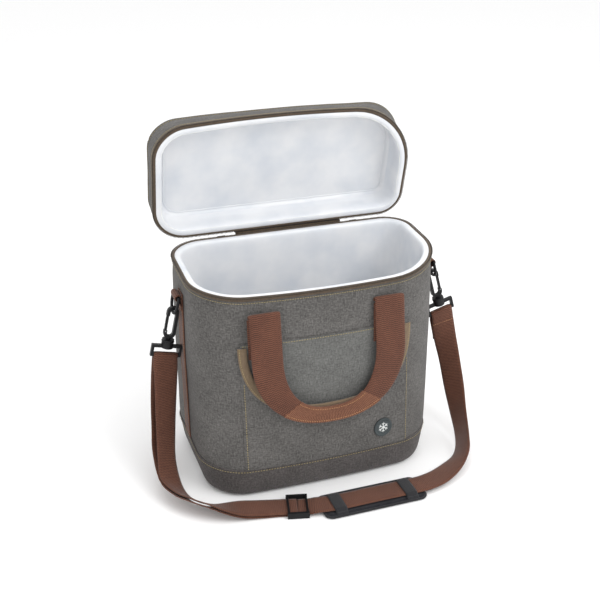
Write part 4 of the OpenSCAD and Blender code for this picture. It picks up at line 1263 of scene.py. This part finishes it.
# elastic keepers over the strap
for s in (-1, 1):
    kx = PCX + s * (PL / 2 - 19)
    hw = PW / 2 - 1.2
    sec = [(-hw - 0.4, 2.2), (-hw - 0.5, 3.8), (-hw + 1.4, 5.3), (-STRAP_W / 2 - 2.5, 6.2), (-STRAP_W / 2 - 0.5, 7.6), (-STRAP_W / 2 + 1.5, 8.35), (-8, 8.45), (0, 8.5), (8, 8.45),
           (STRAP_W / 2 - 1.5, 8.35), (STRAP_W / 2 + 0.5, 7.6), (STRAP_W / 2 + 2.5, 6.2), (hw - 1.4, 5.3), (hw + 0.5, 3.8), (hw + 0.4, 2.2)]
    rt = catmull([(kx, PCY + y, z) for y, z in sec], 3)
    o = strip("pad_keeper_" + ("left" if s < 0 else "right"), rt, [(1, 0, 0)] * len(rt), 15.0, 1.1, nw=9)
    give(o, M_PADB)
    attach(o, "pad")
    if s < 0:
        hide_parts("pad_keepers")
    for yy in (-1, 1):
        T_PAD.run([(kx - 6, PCY + yy * (hw - 1.3), 5.9), (kx + 6, PCY + yy * (hw - 1.3), 5.9)], (0, yy * 0.7, 1), pitch=2.4, length=1.9, r=0.34, lift=0.1)
T_PAD.done()

# ------------------------------------------------------------------ lid
LW_T = [(0, LID_RIM_W), (LID_H * 0.5, LID_RIM_W), (LID_H - 5, LID_TOP_W), (LID_H, LID_TOP_W - 7)]
LF_T = [(0, -68), (LID_H * 0.5, -65), (LID_H - 5, -59), (LID_H, -54)]
LB_T = [(0, 84), (LID_H * 0.5, 84), (LID_H - 5, 82), (LID_H, 77)]
LRF_T = ([(0, 38), (LID_H * 0.5, 38), (LID_H, 32)], [(0, 80), (LID_H * 0.5, 68), (LID_H, 44)])
LRB_T = ([(0, 42), (LID_H * 0.5, 40), (LID_H, 34)], [(0, 30), (LID_H * 0.5, 30), (LID_H, 27)])
LBOW_T = [(0, 9), (LID_H * 0.5, 7), (LID_H, 4)]
LM = Matrix.Translation((LID_SHIFT, HY, HZ)) @ Matrix.Rotation(math.radians(TILT - LID_OPEN), 4, "X")


def lid_pts(v, ins):
    return outline(lk(LW_T, v) - 2 * ins, lk(LF_T, v) + ins, lk(LB_T, v) - ins, less(LRF_T, v, ins), less(LRB_T, v, ins), lk(LBOW_T, v))


def lid_soft(x, y, v):
    return 0.55 + 0.8 * nz(x, y, v, 55, 21.0) + 0.35 * nz(x, y, v, 22, 15.0)


def lid_ring(v, off, wob=0.0, k=1.0, dv=0.0, vv=None, flip=1):
    """Ring of the lid at height v, off mm outside the outer surface."""
    pts = lid_pts(min(v, LID_H), 0)
    nn = normals2(pts)
    out = []
    for (x, y), (nx, ny) in zip(pts, nn):
        d = off + wob * lid_soft(x, y, v)
        px, py = (x + nx * d), (y + ny * d - 5)
        out.append(LM @ Vector((px * k, py * k + 5 - HY, (v if vv is None else vv) + dv)))
    return out


rings = [lid_ring(4.5, 0.0, 0.0), lid_ring(6.5, 0.05, 0.1), lid_ring(9, 0.1, 0.25), lid_ring(12.5, 0.1, 0.35)] + [lid_ring(15 + 3.0 * i, 0.0, 0.9) for i in range(7)]
rings += [lid_ring(36, 0.1, 0.9), lid_ring(38.6, 0.3, 0.8), lid_ring(39.8, 0.9, 0.7, dv=0.4), lid_ring(40.0, 0.6, 0.6, dv=1.7), lid_ring(40.0, -1.2, 0.4, dv=3.0), lid_ring(40, -4.5, 0.2, dv=4.1)]


def panel_ring(k, ins=6.0):
    pts = lid_pts(40, ins)
    out = []
    for x, y in pts:
        px, py = x * k, (y - 5) * k + 5
        crown = 44.3 + 1.7 * (1 - k ** 2.2) + 0.9 * nz(px, py, 0, 60, 31.0) * (1 - k ** 6) + 0.25 * nz(px, py, 0, 24, 33.0)
        out.append(LM @ Vector((px, py - HY, crown)))
    return out


rings += [panel_ring(k) for k in (1.0, 0.985, 0.95, 0.9, 0.84, 0.77, 0.69, 0.6, 0.5, 0.4, 0.3, 0.2, 0.1, 0.03)]
lid = loft("lid_canvas", rings, cap="end")
give(lid, M_CANVAS)
subsurf(lid, 1)
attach(lid, "lid")
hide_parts("lid_shell")
# flat weave coordinates on the top panel
lay = lid.data.uv_layers[0]
LMI = LM.inverted()
for poly in lid.data.polygons:
    cc = LMI @ (Vector(poly.center) * 1000)
    if cc.z > 43.4:
        for li in poly.loop_indices:
            q = LMI @ (Vector(lid.data.vertices[lid.data.loops[li].vertex_index].co) * 1000)
            lay.data[li].uv = (q.x * 0.001, q.y * 0.001)
# raised seam where the side meets the top panel
bead("lid_edge_seam", lid_ring(40.0, 0.75, 0.65, dv=1.0), 1.15, "lid", M_CANVAS_O, True, ns=8)
LUP = LM.to_3x3() @ Vector((0, 0, 1))


def lid_out(p):
    q = LMI @ p
    return LM.to_3x3() @ Vector((q.x / 160.0, (q.y + HY) / 85.0, 0))


T_LID.run(lid_ring(37.2, 0.55, 0.85), lid_out, closed=True, pitch=3.4, r=0.4)
T_LID.run(lid_ring(8.6, 0.5, 0.2), lid_out, closed=True, pitch=3.0, length=2.2, r=0.38)
tape = loft("lid_tape", [lid_ring(v, d) for v, d in ((6.2, 0.1), (6.4, 0.8), (6.0, 1.3), (5, 1.35), (4, 1.35), (2.4, 1.1), (2.2, 0.3))])
give(tape, M_TAPE)
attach(tape, "lid")
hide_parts("lid_zip")
coil("lid_coil", lid_ring(1.7, 1.2), lambda p: lid_out(p), lambda p: -LUP, "lid", M_COIL)
bind = loft("lid_binding_tape", [lid_ring(v, d) for v, d in ((2.6, 0.3), (1.4, 0.3), (0.6, -0.2), (0.35, -1.2), (0.5, -2.3), (1.1, -3.0), (2.3, -3.1))])
give(bind, M_TAPE)
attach(bind, "lid")
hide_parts("lid_piping")

# inner film: lip, side walls and a welded panel
def lfilm(v, ins, amp, k=1.0, vv=None):
    pts = lid_pts(v, ins)
    nn = normals2(pts)
    out = []
    for (x, y), (nx, ny) in zip(pts, nn):
        d = amp * (0.8 + 1.0 * nz(x, y, v * 0.4, 26, 41.0) + 0.5 * nz(x, y, v, 12, 44.0))
        out.append(LM @ Vector((x - nx * d, y - ny * d - HY, v if vv is None else vv)))
    return out


rings = [lfilm(1.0, 2.9, 0), lfilm(0.5, 4.2, 0), lfilm(0.5, 6.5, 0.1), lfilm(1.1, 8.8, 0.2), lfilm(2.6, 10.0, 0.3), lfilm(5, 10.5, 0.6)] + [lfilm(8 + 2.6 * i, 10.5 + max(0, 8 + 2.6 * i - 20) * 0.16, 1.0) for i in range(9)]
rings += [lfilm(31.0, 12.9, 0.7), lfilm(32.2, 14.4, 0.35), lfilm(32.7, 16.5, 0.2), lfilm(32.5, 18.6, 0.1)]


def film_panel(k, ins=20.0):
    pts = lid_pts(32, ins)
    out = []
    for x, y in pts:
        px, py = x * k, (y - 5) * k + 5
        dent = 1.6 * math.exp(-(((px - 95) / 38) ** 2 + ((py - 45) / 22) ** 2)) - 1.2 * math.exp(-(((px - 60) / 26) ** 2 + ((py - 30) / 15) ** 2))
        h = 32.1 - 1.5 * (1 - k ** 3) + 0.9 * nz(px, py, 0, 52, 51.0) * (1 - k ** 8) + 0.3 * nz(px, py, 0, 20, 54.0) * (1 - k ** 8) - dent * (1 - k ** 8)
        out.append(LM @ Vector((px, py - HY, h)))
    return out


rings += [film_panel(k) for k in (1.0, 0.985, 0.96, 0.92, 0.87, 0.8, 0.72, 0.63, 0.54, 0.45, 0.36, 0.27, 0.18, 0.09, 0.02)]
lf = loft("lid_film", rings, cap="end")
give(lf, M_LINER)
subsurf(lf, 1)
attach(lf, "lid")
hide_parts("lid_liner")
lay = lf.data.uv_layers[0]
for poly in lf.data.polygons:
    qs = [LMI @ (Vector(lf.data.vertices[lf.data.loops[li].vertex_index].co) * 1000) for li in poly.loop_indices]
    if min(q.z for q in qs) > 28:
        for li, q in zip(poly.loop_indices, qs):
            lay.data[li].uv = (q.x * 0.001, q.y * 0.001)
bead("lid_film_weld", [p for p in lfilm(32.5, 16.8, 0.1)], 0.7, "lid", M_LINER, True, ns=8)

# fabric hinge between the rear rim and the lid
hp = []
for i in range(15):
    z = 252 + (271.6 - 252) * i / 14
    hp.append(z)
o = NODES["hinge_strip"]
hx, hcx = 72.0, 14.0
prof = [(HY - 0.65, 250.5), (HY + 0.2, 256), (HY + 0.75, 262), (HY + 0.95, 267), (HY + 1.0, 270.5), (HY + 1.15, 272.3)]
qv = [(0.55, 1.2), (0.35, 3.2), (0.15, 6.0), (-0.35, 10), (-0.6, 14), (-0.75, 18)]


def lidp(yrel, v):
    q = LM @ Vector((0, yrel, v))
    return (q.y, q.z)


# on the lid the strip lies on the outside of its rear wall
prof2 = [lidp(0.95, 3.6), lidp(0.75, 6.5), lidp(0.4, 10.5), lidp(-0.6, 14.0), lidp(-1.0, 18.0)]
mid = [(HY + 1.9, 273.0), (HY + 2.8, 273.35)]
prof = prof + mid + prof2
rt = catmull([(hcx, y, z) for y, z in prof], 3)
hs = strip("hinge_fabric", rt, [(1, 0, 0)] * len(rt), 2 * hx, 0.9, nw=25)
give(hs, M_TAPE)
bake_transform(hs)
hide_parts("hinge_strip")

# ------------------------------------------------------------------ zip sliders, pulls, stops, inner parts
for nm in ("left", "right"):
    give(NODES["zip_slider_" + nm], M_DARKM)
    bevel(NODES["zip_slider_" + nm], 0.0005, 3, 40)
    give(NODES["zip_pull_" + nm], M_BLACK)
    bevel(NODES["zip_pull_" + nm], 0.0004, 3, 40)
give(NODES["zip_stops"], M_DARKM)
bevel(NODES["zip_stops"], 0.0003, 2, 40)
for n_ in ("foam_walls", "foam_base", "lid_foam"):
    give(NODES[n_], M_FOAM)
give(NODES["base_board"], M_BLACK)

for t in (T_OLIVE, T_DARK, T_BROWN, T_LID):
    t.done()

# ------------------------------------------------------------------ stage and light
bpy.ops.mesh.primitive_plane_add(size=12, location=(0, 0, 0))
floor = bpy.context.active_object
floor.name = "floor"
fm = Mat("floor")
fm.b.inputs["Base Color"].default_value = (0.93, 0.93, 0.93, 1)
fm.b.inputs["Roughness"].default_value = 0.75
fm.b.inputs["Specular IOR Level"].default_value = 0.1
give(floor, fm.m)

world = bpy.data.worlds.new("world")
scene.world = world
world.use_nodes = True
bg = world.node_tree.nodes["Background"]
bg.inputs[0].default_value = (1.0, 1.0, 1.0, 1)
bg.inputs[1].default_value = 1.04


def area(name, loc, at, size, power, color=(1, 1, 1)):
    l = bpy.data.lights.new(name, "AREA")
    l.energy = power
    l.size = size
    l.color = color
    o = bpy.data.objects.new(name, l)
    scene.collection.objects.link(o)
    o.location = loc
    o.rotation_euler = (Vector(loc) - Vector(at)).to_track_quat("Z", "Y").to_euler()
    return o


area("key", (0.9, -1.3, 1.7), (0, 0, 0.15), 1.2, 20)
area("fill", (-1.6, -0.8, 1.0), (0, 0, 0.2), 1.4, 1.5)
area("top", (0, 0.2, 2.0), (0, 0, 0.1), 1.4, 8)
scene.view_settings.view_transform = "Standard"
scene.view_settings.look = "None"
scene.view_settings.exposure = 0.0
